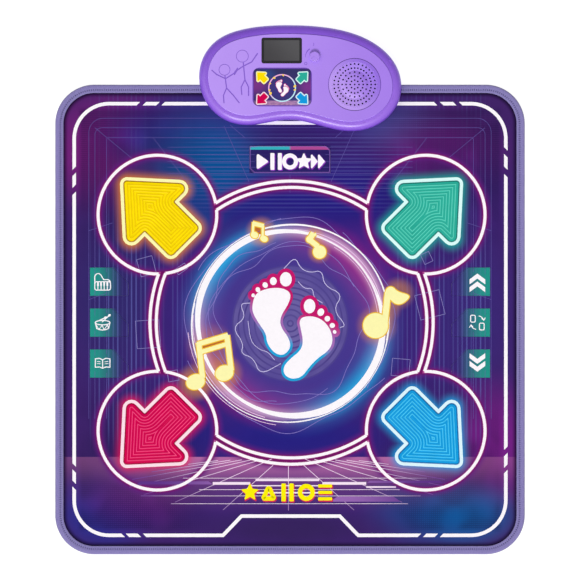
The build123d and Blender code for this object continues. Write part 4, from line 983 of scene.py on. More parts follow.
def tidy_loop(points):
    """An outline without points that fall on each other."""
    result = []
    for point in points:
        if not result or (Vector(point) - Vector(result[-1])).length > 0.01:
            result.append(point)
    if (Vector(result[0]) - Vector(result[-1])).length < 0.01:
        result.pop()
    return result


def apply_modifiers(obj):
    """The object's mesh with its modifiers applied."""
    graph = bpy.context.evaluated_depsgraph_get()
    graph.update()
    made = bpy.data.meshes.new_from_object(obj.evaluated_get(graph))
    old = obj.data
    obj.modifiers.clear()
    made.name = old.name
    obj.data = made
    bpy.data.meshes.remove(old)


def smooth_by_angle(obj, limit=32):
    """Sharp edges where two faces meet at more than limit degrees."""
    mesh = bmesh.new()
    mesh.from_mesh(obj.data)
    for edge in mesh.edges:
        sharp = len(edge.link_faces) == 2 and edge.calc_face_angle(0) > math.radians(limit)
        edge.smooth = not sharp
    mesh.to_mesh(obj.data)
    mesh.free()


def edge_path(inset, step):
    """Evenly spaced places along the mat's edge at an inset, each with its outward direction."""
    half, radius = MAT_HALF - inset, MAT_RADIUS - inset
    straight = 2 * (half - radius)
    bend = math.pi / 2 * radius
    total = 4 * (straight + bend)
    count = round(total / step)
    result = []
    for i in range(count):
        s = total * i / count
        side, rest = divmod(s, straight + bend)
        turn = side * math.pi / 2
        if rest < straight:
            x, y, angle = half, rest - straight / 2, 0.0
        else:
            angle = (rest - straight) / radius
            x = half - radius + radius * math.cos(angle)
            y = half - radius + radius * math.sin(angle)
        c, s = math.cos(turn), math.sin(turn)
        out = Vector((math.cos(angle + turn), math.sin(angle + turn)))
        result.append((Vector((x * c - y * s, x * s + y * c)), out))
    return result


def make_binding():
    """The folded edge tape, drawn in a little at each stitch, and the row of stitches."""
    top, lip = BINDING_HIGH.z, MAT_TOP
    width, thick = BINDING_WIDTH, BINDING_T
    round_r, foot_r = BINDING_ROUND, BINDING_FOOT
    profile = [(width - 0.3, lip), (width, lip + 0.5), (width - 0.25, top - 0.35), (width - 1.2, top - 0.02)]
    profile += [(SEAM_INSET + 1.2, top + 0.12), (SEAM_INSET + 0.5, top - 0.08), (SEAM_INSET, top - 0.2)]
    profile += [(SEAM_INSET - 0.5, top - 0.08), (SEAM_INSET - 1.2, top + 0.12), (round_r + 2.5, top + 0.1)]
    for k in range(5):
        angle = math.pi / 2 * (1 + k / 4)
        profile.append((round_r + round_r * math.cos(angle), top - round_r + round_r * math.sin(angle)))
    for k in range(4):
        angle = math.pi * (1 + k / 6)
        profile.append((foot_r + foot_r * math.cos(angle), foot_r + foot_r * math.sin(angle)))
    profile += [(width, 0.0), (width, thick), (thick, thick), (thick, lip)]
    seam = {4: 0.1, 5: 0.4, 6: 1.0, 7: 0.4, 8: 0.1}  # the share of a stitch's pull at each of these points
    places = edge_path(0.0, STITCH_PITCH / STITCH_STEPS)
    mesh = bmesh.new()
    rings = []
    for i, (at, out) in enumerate(places):
        ring = []
        for k, (inset, z) in enumerate(profile):
            p = at - out * inset
            if k in seam:
                z -= 0.35 * seam[k] * (i % STITCH_STEPS == 0)
            if 1 <= k <= 12:
                z += 0.16 * noise.noise(Vector((p.x / 9, p.y / 9, k * 0.15)))
            wave = 0.25 * noise.noise(Vector((p.x / 24, p.y / 24, 5.0))) if 9 <= k <= 17 else 0.0
            ring.append(mesh.verts.new((p.x - out.x * abs(wave), p.y - out.y * abs(wave), max(z, 0.0))))
        rings.append(ring)
    skin(mesh, rings + rings[:1])
    bmesh.ops.recalc_face_normals(mesh, faces=mesh.faces[:])
    tape = new_object("binding_tape", mesh, ROOT, "binding", woven_tape(), smooth=True)
    smooth_by_angle(tape, 40)
    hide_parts("edge_binding")

    mesh = bmesh.new()
    for at, out in edge_path(SEAM_INSET, STITCH_PITCH):
        stitch_mesh(mesh, at, out, top - 0.05)
    net = Net("thread")
    twist = net.stripes(net.plus(net.split(net.mm)[0], net.split(net.mm)[1]), 0.5, 0.4)
    color = net.mix(twist, tone("#544a86"), tone("#3c3270"))
    net.bump(twist, 0.4, 0.0002)
    material = net.finish(color, 0.6, Sheen_Weight=0.3)
    thread = new_object("edge_stitches", mesh, ROOT, "thread", material, smooth=True)
    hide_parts("seam_thread")


def stitch_mesh(mesh, at, out, z):
    """One stitch: a small bowed bead of thread across the seam that dives into the tape at both ends."""
    aside = Vector((-out.y, out.x))
    rings = []
    for k in range(5):
        t = -1 + k / 2
        thick = 0.85 * math.sqrt(max(1 - (0.86 * t) ** 2, 0.0))
        centre = at + out * (1.9 * t)
        height = z + 0.16 - 0.28 * t * t
        ring = []
        for i in range(6):
            a = 2 * math.pi * i / 6
            p = centre + aside * (thick * math.cos(a))
            ring.append(mesh.verts.new((p.x, p.y, height + thick * math.sin(a))))
        rings.append(ring)
    for a, b in zip(rings, rings[1:]):
        for i in range(6):
            j = (i + 1) % 6
            mesh.faces.new((a[i], b[i], b[j], a[j]))
    mesh.faces.new(rings[0])
    mesh.faces.new(rings[-1][::-1])


# --- The arrow windows -------------------------------------------------------------------------------
def window_radii(turns, depths, centre):
    """How far from the centre each depth inside the outline lies, along each direction."""
    loop = np.array([tuple(p) for p in tidy_loop(arrow_points(0.0, 9))])
    a, b = loop, np.roll(loop, -1, axis=0)
    edge = b - a
    rays = np.stack([np.cos(turns), np.sin(turns)], axis=1)

    def depth(points):
        rel = points[:, None, :] - a[None]
        share = np.clip((rel * edge).sum(-1) / (edge * edge).sum(-1), 0, 1)
        return np.linalg.norm(rel - share[..., None] * edge, axis=-1).min(1)

    cross = rays[:, None, 0] * edge[None, :, 1] - rays[:, None, 1] * edge[None, :, 0]
    rel = a - centre
    with np.errstate(divide="ignore", invalid="ignore"):
        t = (rel[None, :, 0] * edge[None, :, 1] - rel[None, :, 1] * edge[None, :, 0]) / cross
        s = (rel[None, :, 0] * rays[:, None, 1] - rel[None, :, 1] * rays[:, None, 0]) / cross
    hit = np.where((s >= -1e-9) & (s <= 1 + 1e-9) & (t > 0), t, np.inf).min(1)
    result = []
    for wanted in depths:
        low, high = np.zeros_like(hit), hit.copy()
        for _ in range(24):
            mid = (low + high) / 2
            deep = depth(centre + rays * mid[:, None]) >= wanted
            low, high = np.where(deep, mid, low), np.where(deep, high, mid)
        result.append(low)
    return result


def make_windows():
    """The raised arrow windows, with a ridge along each inner line."""
    centre = np.array([WINDOW_HUB, 0.0])
    spread = np.linspace(0, 1, 130, endpoint=False)
    near_tail = math.pi - 0.45 * (1 - spread) ** 2.2
    turns = np.concatenate([np.linspace(0, math.pi - 0.45, 150, endpoint=False), near_tail])
    turns = np.concatenate([turns, [math.pi], 2 * math.pi - turns[:0:-1]])
    count = len(turns)
    rise = box_mm("arrow_window_back_left")[1].z
    rows = [(0.0, COVER_BOTTOM, -1.0), (0.0, rise - 0.7, -1.0), (0.3, rise - 0.2, -1.0), (1.2, rise, -0.9)]
    rows.append((2.1, rise, 0.0))
    pitch, ridge, lift = 5.6, 2.2, 0.3
    at = pitch
    while at < WINDOW_DEPTH:
        rows += [(at, rise, 0.0), (at + 0.5, rise + lift, 1.0), (at + ridge - 0.5, rise + lift, 1.0)]
        rows += [(at + ridge, rise, 0.0)]
        at += pitch
    radii = window_radii(turns, [d for d, _, _ in rows], centre)
    for pad in PADS:
        fill_code, line_code, _, _ = PAD_TONES[pad]
        mesh = bmesh.new()
        layer = mesh.verts.layers.float.new("ridge")
        rings = []
        for (d, z, share), radius in zip(rows, radii):
            ring = []
            flat = [(centre[0] + r * math.cos(t), r * math.sin(t)) for r, t in zip(radius, turns)]
            for p in placed(flat, pad):
                vert = mesh.verts.new((p.x, p.y, z))
                vert[layer] = share
                ring.append(vert)
            rings.append(ring)
        skin(mesh, rings)
        mesh.faces.new(rings[0][::-1])
        hub = placed([centre], pad)[0]
        top = mesh.verts.new((hub.x, hub.y, rise))
        for i in range(count):
            mesh.faces.new((rings[-1][i], rings[-1][(i + 1) % count], top))
        bmesh.ops.remove_doubles(mesh, verts=mesh.verts[:], dist=0.002)
        bmesh.ops.recalc_face_normals(mesh, faces=mesh.faces[:])
        net = Net("window_" + pad)
        ink = net.tree.nodes.new("ShaderNodeAttribute")
        ink.attribute_name = "ridge"
        color = net.mix(net.fade(ink.outputs["Fac"], 0.25, 0.9), tone(fill_code), tone(line_code))
        color = net.mix(net.fade(ink.outputs["Fac"], -0.9, -0.3, 0.6, 0), color, tone(RIM_TONES[pad]))
        color = net.mottle(color, net.noise(55, 3), 0.95, 1.02)
        net.bump(net.noise(1800, 2), 0.05, 0.0002)
        material = net.finish(color, 0.40, Specular_IOR_Level=INK_GLOSS)
        piece = new_object("window_" + pad, mesh, "pad_" + pad, PAD_SLOTS[pad], material, smooth=True)
        smooth_by_angle(piece, 50)
        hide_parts("arrow_window_" + pad)


# --- The printed lines -----------------------------------------------------------------------------
def border_lines(ink):
    """The white border with its slanted breaks and the trapezoid at the front."""
    h, r, w = BORDER_HALF, BORDER_RADIUS, BORDER_LINE
    # each run: its points, and the lean of its two ends
    # 1 leans as / on a level run and as \ on an upright one
    runs = [
        ([(-h, 290), *arc(-h + r, h - r, r, 180, 90), (-290.6, h)], (-1, 1)),
        ([(-279, h), (-253, h)], (1, 1)),
        ([(-243, h), (-128.4, h), (-93, 376.7), (95.3, 376.7), (130.7, h), (279, h)], (1, -1)),
        ([(290.6, h), (315.7, h)], (-1, -1)),
        ([(327, h), *arc(h - r, h - r, r, 90, 0), (h, 327)], (-1, 1)),
        ([(h, 313.8), (h, 290)], (1, 1)),
        ([(h, 275.7), (h, -246.7)], (1, -1)),
        ([(h, -258.8), (h, -280.9)], (-1, -1)),
        ([(h, -291.2), *arc(h - r, -h + r, r, 0, -90), (290.6, -h)], (-1, 1)),
        ([(280.4, -h), (258, -h)], (1, 1)),
        (
            [(247.9, -h), (130.7, -h), (95.3, -376.7), (-93, -376.7), (-128.4, -h), (-278.5, -h)],
            (1, -1),
        ),
        ([(-288.5, -h), (-311.5, -h)], (-1, -1)),
        ([(-319.8, -h), *arc(-h + r, -h + r, r, 270, 180), (-h, -323.4)], (-1, 1)),
        ([(-h, -311.9), (-h, -290.4)], (1, 1)),
        ([(-h, -278.9), (-h, 241.9)], (1, -1)),
        ([(-h, 255.2), (-h, 278.2)], (-1, -1)),
    ]
    for points, lean in runs:
        ink.stroke(points, w, slant=lean)


def circle_and_ring_lines(ink):
    """The four circles, open where the channel of the double ring enters, and the ring's arcs."""

    def meeting(radius):
        """The directions, from the field's centre and from the pad's, where a ring meets a circle."""
        far = PAD_OFFSET.length
        base = math.atan2(PAD_OFFSET.y, PAD_OFFSET.x)
        swing = math.acos((far**2 + radius**2 - CIRCLE_R**2) / (2 * far * radius))
        spots = []
        for sign in (-1, 1):
            turn = base + sign * swing
            x, y = radius * math.cos(turn) - PAD_OFFSET.x, radius * math.sin(turn) - PAD_OFFSET.y
            spots.append((math.degrees(turn), math.degrees(math.atan2(y, x)) % 360))
        return spots

    (low_out, seat_low_out), (high_out, seat_high_out) = meeting(RING_OUTER)
    (low_in, seat_low_in), (high_in, seat_high_in) = meeting(RING_INNER)
    for pad, (sx, sy) in PADS.items():
        at = PAD_PLACE[pad]

        def mirrored(x, y, radius, start, end):
            points = arc(0, 0, radius, start, end, 2.0)
            return [Vector((x + sx * p.x, y + sy * p.y)) for p in points]

        # anticlockwise from the upper meeting, round the outside, to the lower one
        ink.stroke(mirrored(at.x, at.y, CIRCLE_R, seat_low_out - 360, seat_high_out), LINE)
        ink.stroke(mirrored(at.x, at.y, CIRCLE_R, seat_high_in, seat_low_in), LINE)
    for radius, low, high in ((RING_OUTER, low_out, high_out), (RING_INNER, low_in, high_in)):
        for start, end in (
            (-low, low),
            (high, 180 - high),
            (180 - low, 180 + low),
            (180 + high, 360 - high),
        ):
            if end > start:
                ink.stroke(arc(FIELD.x, FIELD.y, radius, start, end, 2.0), LINE)


def arrow_strokes():
    """The pale glowing outline printed round each window."""
    for pad in PADS:
        ink = Ink(lift=0.17)
        inner, outer = arrow_points(1.0), arrow_points(7.2)
        inner, outer = placed(inner, pad), placed(outer, pad)
        count = len(inner)
        middle_line = [(a + b) / 2 for a, b in zip(inner, outer)]
        verts = [(ink.mesh.verts.new((*a, 0)), ink.mesh.verts.new((*b, 0))) for a, b in zip(inner, outer)]
        for i in range(count):
            (a, b), (c, d) = verts[i], verts[(i + 1) % count]
            if (middle_line[i] - middle_line[(i + 1) % count]).length > 0.05:
                parts = max(1, math.ceil((middle_line[i] - middle_line[(i + 1) % count]).length / INK_STEP))
                last = (a, b)
                for k in range(1, parts + 1):
                    share = k / parts
                    if k < parts:
                        near = ink.mesh.verts.new(a.co.lerp(c.co, share))
                        far = ink.mesh.verts.new(b.co.lerp(d.co, share))
                    else:
                        near, far = c, d
                    ink.mesh.faces.new((last[0], near, far, last[1]))
                    last = (near, far)
        ink.piece("outline_" + pad, ink_material("outline_" + pad, PAD_TONES[pad][2]))


def make_print(white):
    ink = Ink(lift=0.05)
    border_lines(ink)
    circle_and_ring_lines(ink)
    ink.piece("white_lines", white)
    arrow_strokes()
    glow_ring(white)
    thin_lines()
    floor_lines()
    footprints(white)
    notes()
    bars()
    start_symbols(white)
    side_icons(white)


def glow_ring(white):
    """The neon ring: a band that swells and thins, with finer lines beside it."""
    x, y = GLOW_CENTRE

    def swelling(ink, radius, sway, base, swell, low=0.0):
        """A closed band whose radius and width both change twice round the ring; low widens its front."""
        points, widths = [], []
        for i in range(160):
            t = 2 * math.pi * i / 160
            lean = math.cos(2 * t - math.radians(275))
            r = radius + sway * lean
            points.append(Vector((x + r * math.cos(t), y + r * math.sin(t))))
            widths.append(base + swell * lean - low * math.sin(t))
        ink.stroke(points, widths, closed=True)

    ink = Ink(lift=0.05)
    swelling(ink, 177.0, 3.4, 9.2, 5.0, 1.6)
    swelling(ink, 189.0, -2.6, 3.0, 0.8, -0.6)
    ink.piece("glow_ring", white)
    ink = Ink(lift=0.09)
    ink.stroke(arc(x, y, 186.5, 100, 168), 0.9)
    ink.stroke(arc(x, y, 186.5, 268, 350), 0.9)
    ink.piece("glow_ring_hairline", ink_material("hairline_ink", "#4a4a9c"))
    ink = Ink(lift=0.07)
    ink.stroke(arc(x, y, 175.4, 18, 76), 1.3)
    ink.stroke(arc(x, y, 180.2, 12, 88), 1.1)
    ink.stroke(arc(x, y, 168.5, -8, 60), 0.9)
    ink.stroke(arc(x, y, 186.4, 175, 255), 1.3)
    ink.stroke(arc(x, y, 196.5, 185, 262), 1.2)
    ink.piece("glow_ring_fine", ink_material("fine_pink_ink", "#f3cdf0"))


def wavy(x, y, radius, swing, lobes, phase, start=0, end=360, second=0.0):
    points = []
    for p in range(int((end - start) / 2.5) + 1):
        t = math.radians(start + 2.5 * p)
        r = radius + swing * math.sin(lobes * t + phase) + second * math.sin((lobes * 2 + 1) * t)
        points.append(Vector((x + r * math.cos(t), y + r * math.sin(t))))
    return points


def thin_lines():
    """The faint drawing: waves round the ring, the jagged line, tumbling squares and long guide lines."""
    x, y = GLOW_CENTRE
    ink = Ink(lift=0.024)
    for radius, swing, lobes, phase, start, end, second in (
        (198, 8, 5, 0.6, 20, 150, 3),
        (196, 7, 4, 2.1, 95, 215, 2),
        (200, 9, 5, 3.6, 200, 330, 3),
        (194, 6, 6, 1.2, -40, 60, 2),
        (142, 10, 5, 0.3, 0, 360, 3),
        (150, 7, 4, 2.4, 30, 300, 2),
        (158, 5, 7, 4.0, 100, 260, 2),
    ):
        ink.stroke(wavy(x, y, radius, swing, lobes, phase, start, end, second), 1.1)
    ink.piece("wave_lines", ink_material("wave_ink", "#8577c4"))

    ink = Ink(lift=0.036)
    for jag, width in JAGGED:
        line = [Vector((x + px, y + py)) for px, py in rounded(jag, False)]
        ink.stroke(line, width)
    ink.piece("jagged_line", ink_material("jag_ink", "#cdc4ee"))

    ink = Ink(lift=0.012)
    for px, py, w, h, turn in (
        (-275, 102, 30, 34, 15),
        (-208, 97, 22, 12, 35),
        (-272, -28, 45, 53, 4),
        (-224, -108, 20, 20, 10),
        (262, 118, 17, 20, 25),
        (268, 28, 48, 48, 14),
        (212, -92, 34, 33, -5),
    ):
        c, s = math.cos(math.radians(turn)), math.sin(math.radians(turn))
        box = [(-w / 2, -h / 2), (w / 2, -h / 2), (w / 2, h / 2), (-w / 2, h / 2)]
        ink.stroke([Vector((px + a * c - b * s, py + a * s + b * c)) for a, b in box], 0.9, closed=True)
    ink.piece("tumbling_squares", ink_material("square_ink", "#8d84c2"))

    ink = Ink()
    for half, back, radius in TUNNEL:
        bends = arc(-half + radius, back - radius, radius, 180, 90)
        bends += arc(half - radius, back - radius, radius, 90, 0)
        ink.stroke([(-half, TUNNEL_FRONT), *bends, (half, TUNNEL_FRONT)], 0.7)
    for level in TUNNEL_LEVELS:
        ink.stroke([(-TUNNEL_REACH, level), (TUNNEL_REACH, level)], 0.6)
    for side in (-1, 1):
        for start, end in GUIDES:
            ink.stroke([(side * start[0], start[1]), (side * end[0], end[1])], 0.7)
    ink.stroke([(0, 243), (0, 278)], 0.6)
    ink.piece("guide_lines", ink_material("guide_ink", "#6257a4"))


def bar_ink():
    """The bars are bright in the middle and fade into the floor at the sides."""
    net = Net("floor_bar_ink")
    far = net.fade(net.size(net.split(net.mm)[0]), 160, 300)
    color = net.mix(far, tone("#f6e2f4"), tone("#7448a0"))
    return finish_ink(net, color)


def floor_lines():
    """The floor's perspective lines and bright bars."""
    x0 = FIELD.x - 6
    ink = Ink()
    for k in range(1, FLOOR_RAYS + 1):
        start, end = 13.0 + 0.6 * k, 126.0 - 14.5 * k
        if k == 1:
            start, end = 26.0, 112.0
        for side in (-1, 1):
            run = side * k * RAY_SPREAD
            ink.stroke([(x0 + run * start, EYE_LEVEL - start), (x0 + run * end, EYE_LEVEL - end)], 1.1)
    ink.stroke([(x0, EYE_LEVEL - 28), (x0, -366)], 1.2)
    net = Net("floor_ray_ink")
    rx, ry, _ = net.split(net.mm)
    fall = net.times(net.fade(net.size(rx), 110, 290, 1, 0), net.fade(ry, -368, -300, 0.25, 1))
    color = net.mix(fall, tone("#75459a"), tone("#f4d8f2"))
    ink.piece("floor_rays", finish_ink(net, color))
    ink = Ink(lift=0.045)
    for y, start, end, width in (
        (-304, -205, 262, 0.9),
        (-307.5, -66, 56, 4.2),
        (-314, -148, -76, 5.2),
        (-314, 62, 146, 5.2),
        (-318.5, -75, 60, 2.2),
        (-321, 146, 203, 3.2),
        (-326, -174, 210, 0.9),
        (-332, -64, 56, 2.8),
        (-338, -286, 250, 0.9),
        (-353, -228, 226, 0.9),
    ):
        ink.stroke([(start, y), (end, y)], width)
    ink.piece("floor_bars", bar_ink())
    ink = Ink(lift=0.035)
    for y, start, end, width in ((-313, -290, -152, 6.0), (-311, 150, 290, 4.0), (-344, 84, 205, 10.0)):
        ink.stroke([(start, y), (end, y)], width, slant=(1.4, -1.4))
    net = Net("floor_haze_ink")
    hx = net.size(net.split(net.mm)[0])
    color = net.mix(net.fade(hx, 90, 270), tone("#9666b0"), tone("#5e3288"))
    ink.piece("floor_haze", finish_ink(net, color))


def draw_feet(rim, body, x, y, scale):
    """A pair of bare footprints: the rim goes into one ink and the soles and toes into another."""
    for sole in (LEFT_SOLE, RIGHT_SOLE):
        outline = rounded([(x + px * scale, y + py * scale) for px, py in sole], True)
        rim.fill(offset_loop(outline, 5.0 * scale))
        body.fill(outline)
    for px, py, rx, ry, turn in TOES:
        place = (x + px * scale, y + py * scale)
        rim.blob(*place, (rx + 7.0) * scale, (ry + 7.0) * scale, turn)
        body.blob(*place, rx * scale, ry * scale, turn)


def footprints(white):
    """The footprints' outline is pink at the toes and blue at the heels."""
    rim, body = Ink(lift=0.05), Ink(lift=0.14)
    draw_feet(rim, body, *GLOW_CENTRE, 1.0)
    net = Net("foot_rim_ink")
    fx, fy, _ = net.split(net.mm)
    along = net.plus(fy, net.times(fx, 0.35))
    color = net.mix(net.fade(along, -52, -22), tone("#1f9fd6"), tone("#a06ab4"))
    color = net.mix(net.fade(along, -14, 26), color, tone("#c4146a"))
    rim.piece("footprint_rims", finish_ink(net, color))
    body.piece("footprints", white)


def rounded(points, closed):
    """A line or a closed outline with its corners cut round, twice (Chaikin's rule)."""
    line = [Vector(p) for p in points]
    for _ in range(2):
        cut = []
        for a, b in zip(line, line[1:] + line[:1] if closed else line[1:]):
            cut += [a.lerp(b, 0.25), a.lerp(b, 0.75)]
        line = cut if closed else [line[0], *cut, line[-1]]
    return line


def offset_loop(points, amount):
    """A smooth closed outline moved out by amount, whichever way it runs."""
    area = sum(a.x * b.y - b.x * a.y for a, b in zip(points, points[1:] + points[:1]))
    return grown([tuple(p) for p in points], amount if area > 0 else -amount)


def notes():
    """The music notes, cream with an amber rim."""
    rim, body, shade = Ink(lift=0.09), Ink(lift=0.19), Ink(lift=0.08)
    for ink, grow in ((rim, 1.9), (body, 0.0)):
        for x, y, rx, ry in (
            (-181, -119.6, 18.0, 14.6),
            (-125.8, -102.8, 17.4, 14.8),
            (-68.1, 162, 7.4, 6.2),
            (-49.8, 154.7, 7.4, 5.8),
        ):
            ink.blob(x, y, rx + grow, ry + grow, 18 if rx > 10 else -20)
        for points, width in (
            ([(-167.4, -112), (-175, -44)], 10.0),
            ([(-112.6, -98), (-121, -30)], 10.0),
            ([(-177.5, -47.5), (-118.5, -30.2)], 9.4),
            ([(-172, -62.8), (-118, -46.2)], 8.0),
            ([(-71.4, 164), (-70, 187)], 4.4),
            ([(-52.6, 156), (-51.8, 180)], 4.4),
            ([(-72, 184.5), (-50, 179)], 8.0),
            ([(181.6, -6), (187.6, 52)], 11.6),
            ([(53.5, 140), (36.5, 153.5)], 10.0),
            ([(36, 151), (45, 166)], 11.0),
            ([(42, 161), (50.5, 163.5)], 5.0),
        ):
            ink.stroke(points, width + 2 * grow)
        ink.blob(164.1, -11.7, 24.0 + grow, 24.0 + grow)
        ink.blob(56.6, 129.4, 12.6 + grow, 12.6 + grow)
        ink.blob(37.5, 153.5, 6.5 + grow, 6.5 + grow)
        flag = [(182, 46), (184, 60), (196, 64), (206, 53), (229, 47)]
        flag += [(227, 39), (212, 28), (199, 31), (191, 40)]
        loop = rounded(flag, True)
        ink.fill(offset_loop(loop, grow) if grow else loop)
    shade.stroke([(-172, -55), (-120, -38.5)], 9.0)
    shade.stroke([(-69, 172), (-54, 168)], 11.0)
    shade.piece("note_shades", ink_material("note_shade_ink", "#c06a32"))
    rim.piece("note_rims", ink_material("note_rim_ink", "#f3c02a"))
    body.piece("notes", ink_material("note_ink", "#fff9b0"))


def star(x, y, size):
    points = []
    for k in range(10):
        t = math.radians(90 + 36 * k)
        r = size if k % 2 == 0 else size * 0.46
        points.append((x + r * math.cos(t), y + r * math.sin(t)))
    return points


def symbol(ink, kind, x, y, half, weight, grow):
    """One plain play symbol, as tall as two halves, its strokes as wide as weight."""
    if kind == "play":
        shape = [(x - half * 0.66, y + half), (x - half * 0.66, y - half), (x + half * 0.8, y)]
        ink.fill(fillet(grown(shape, grow), [2.5] * 3, 5))
    if kind == "star":
        shape = grown(star(x, y, half * 1.08), grow)
        ink.fill(fillet(shape, [1.2] * 10, 3))
    if kind == "ring":
        ink.stroke(arc(x, y, half * 0.95 - weight / 2, 0, 350, 10), weight + 2 * grow, closed=True)
    if kind == "triangle":
        foot = y - half * 0.68
        shape = [(x, y + half * 0.62), (x - half * 0.62, foot), (x + half * 0.62, foot)]
        loop = fillet(shape, [2.0] * 3, 5)
        ink.stroke(loop, weight + 2 * grow, closed=True)
    bars = []
    if kind == "pause":
        bars = [(x + k * half * 0.44, y, weight / 2, half) for k in (-1, 1)]
    if kind == "lines":
        bars = [(x, y + k * half * 0.72, half * 0.78, weight * 0.36) for k in (-1, 0, 1)]
    if kind == "forward":
        for k in (-0.82, 0.02):
            shape = [(x + k * half, y + half), (x + k * half, y - half), (x + (k + 0.84) * half, y)]
            ink.fill(fillet(grown(shape, grow), [1.8] * 3, 5))
    for bx, by, wide, tall in bars:
        left, right, low, high = bx - wide, bx + wide, by - tall, by + tall
        shape = [(left, low), (right, low), (right, high), (left, high)]
        ink.fill(fillet(grown(shape, grow), [1.6 + grow] * 4, 5))


def bars():
    """A row of plain symbols, yellow with a red drop shade, at the front of the floor."""
    shade, face = Ink(lift=0.05), Ink(lift=0.12)
    centre, half, pitch = (-4.8, -331.2), 17.2, 36.0
    for i, kind in enumerate(("star", "triangle", "pause", "ring", "lines")):
        x = centre[0] + pitch * (i - 2)
        symbol(shade, kind, x + 1.2, centre[1] - 1.8, half, 8.6, 0.8)
        symbol(face, kind, x, centre[1], half, 8.6, 0.0)
    shade.piece("symbol_shades", ink_material("symbol_shade_ink", "#d4324e"))
    face.piece("symbols", ink_material("symbol_ink", "#fff200"))


def start_symbols(white):
    """The start key: its frame, its two-colour bar and a row of play symbols."""
    low, high = box_mm("key_start")
    top = key_surface("key_start", start_outline(0.0))
    ink = Ink(top=top, lift=0.04)
    ink.stroke([tuple(p) for p in start_outline(-1.6)], 0.9, closed=True)
    ink.piece("start_frame", ink_material("start_frame_ink", "#9a6cc4"), "press_start", "start_print")
    ink = Ink(top=top, lift=0.05)
    bar = high.y - 4.6
    ink.stroke([(low.x + 1, bar), (high.x - 5, bar)], 6.4, slant=(0, -1))
    material = two_tone_ink("start_bar_ink", "#35b2bc", "#b04a92", (1, 0, 0), START.x - 3, START.x + 3)
    ink.piece("start_bar", material, "press_start", "start_print")
    shade, face = Ink(top=top, lift=0.06), Ink(top=top, lift=0.13)
    for i, kind in enumerate(("play", "pause", "ring", "star", "forward")):
        x, y = START.x + 26.6 * (i - 2), START.y - 4.0
        symbol(shade, kind, x + 1.2, y - 1.2, 16.2, 7.8, 0.6)
        symbol(face, kind, x, y, 16.2, 7.8, 0.0)
    material = ink_material("start_shade_ink", "#8a2ab8")
    shade.piece("start_symbol_shades", material, "press_start", "start_print")
    face.piece("start_symbols", white, "press_start", "start_print")


def icon_places():
    for name in SIDE_KEYS:
        low, high = box_mm("key_" + name)
        side = 1 if low.x > 0 else -1
        outer = high.x if side > 0 else low.x
        top = key_surface("key_" + name, key_outline("key_" + name, 0.0))
        yield name, outer - side * 24.0, (low.y + high.y) / 2, top


def side_icons(white):
    """White line icons on the side keys."""
    for name, x, y, top in icon_places():
        ink = Ink(top=top, lift=0.05)

        def line(points, width=1.9, closed=False):
            ink.stroke([Vector((x + a, y + b)) for a, b in points], width, closed)

        if name == "piano":
            lid = [(-15, -4), (-15, 9), *arc_pairs(-8.5, 9, 6.5, 180, 20), (2, 4), (8, 4)]
            line([*lid, *arc_pairs(9, -2, 6, 90, 0)])
            line(fillet_pairs([(-15, -16), (15, -16), (15, 0), (-15, 0)], 3.5), closed=True)
            for k in (-9, -3, 3, 9):
                line([(k, -16), (k, -8)])
            for k in (-9, -3, 3, 9):
                line([(k, -8), (k, -1)], 3.4)
        if name == "drum":
            line(ellipse_pairs(0, 0, 14, 4.2), closed=True)
            line([(-14, 0), (-11.5, -11), (-6, -13.5), (0, -14.2), (6, -13.5), (11.5, -11), (14, 0)])
            line([(-12.5, -4), (-7, -13), (-1, -5), (3, -13.5), (9, -4.5), (11, -10)], 1.4)
            line([(-9, 3), (3, 8.5)])
            line([(-1, 1), (12, 13)])
            ink.blob(x + 5.5, y + 9.5, 3.0, 2.2, 25)
            ink.blob(x + 13, y + 14, 3.0, 2.2, 42)
        if name == "book":
            line([(0, -9), (0, 7)])
            page = [(0, 7), (-6, 10), (-14, 9), (-14, -7), (-6, -6.5)]
            line([*page, (0, -9), *((-a, b) for a, b in reversed(page))])
            for side in (-1, 1):
                for rise in (4, 0):
                    line([(side * 11, rise), (side * 4, rise - 0.6)], 1.2)
        if name in ("up", "down"):
            flip = 1 if name == "up" else -1
            for k in (-3.5, 11.5):
                shape = [(0, k + 4), (15, k - 7), (15, k - 16.5), (0, k - 5.5), (-15, k - 16.5), (-15, k - 7)]
                ink.fill([Vector((x + a, y + flip * b)) for a, b in shape][::flip])
        if name == "mode":
            line(fillet_pairs([(-13, 1), (-4, 1), (-4, 14), (-13, 14)], 2.5), closed=True)
            line(fillet_pairs([(4, -14), (13, -14), (13, -1), (4, -1)], 2.5), closed=True)
            line(arc_pairs(1, 1.5, 11.5, 82, 15), 1.7)
            line([(8.3, 8.5), (12.1, 4.4), (15.2, 9.4)], 1.7)
            line(arc_pairs(-1, -1.5, 11.5, 262, 195), 1.7)
            line([(-8.3, -8.5), (-12.1, -4.4), (-15.2, -9.4)], 1.7)
        ink.piece("icon_" + name, white, "press_" + name, "key_print")


def arc_pairs(x, y, radius, start, end):
    return [tuple(p) for p in arc(x, y, radius, start, end, 15)]


def fillet_pairs(corners, radius):
    return [tuple(p) for p in fillet(corners, [radius] * len(corners), 5)]


def ellipse_pairs(x, y, rx, ry, count=28):
    turns = [2 * math.pi * i / count for i in range(count)]
    return [(x + rx * math.cos(t), y + ry * math.sin(t)) for t in turns]


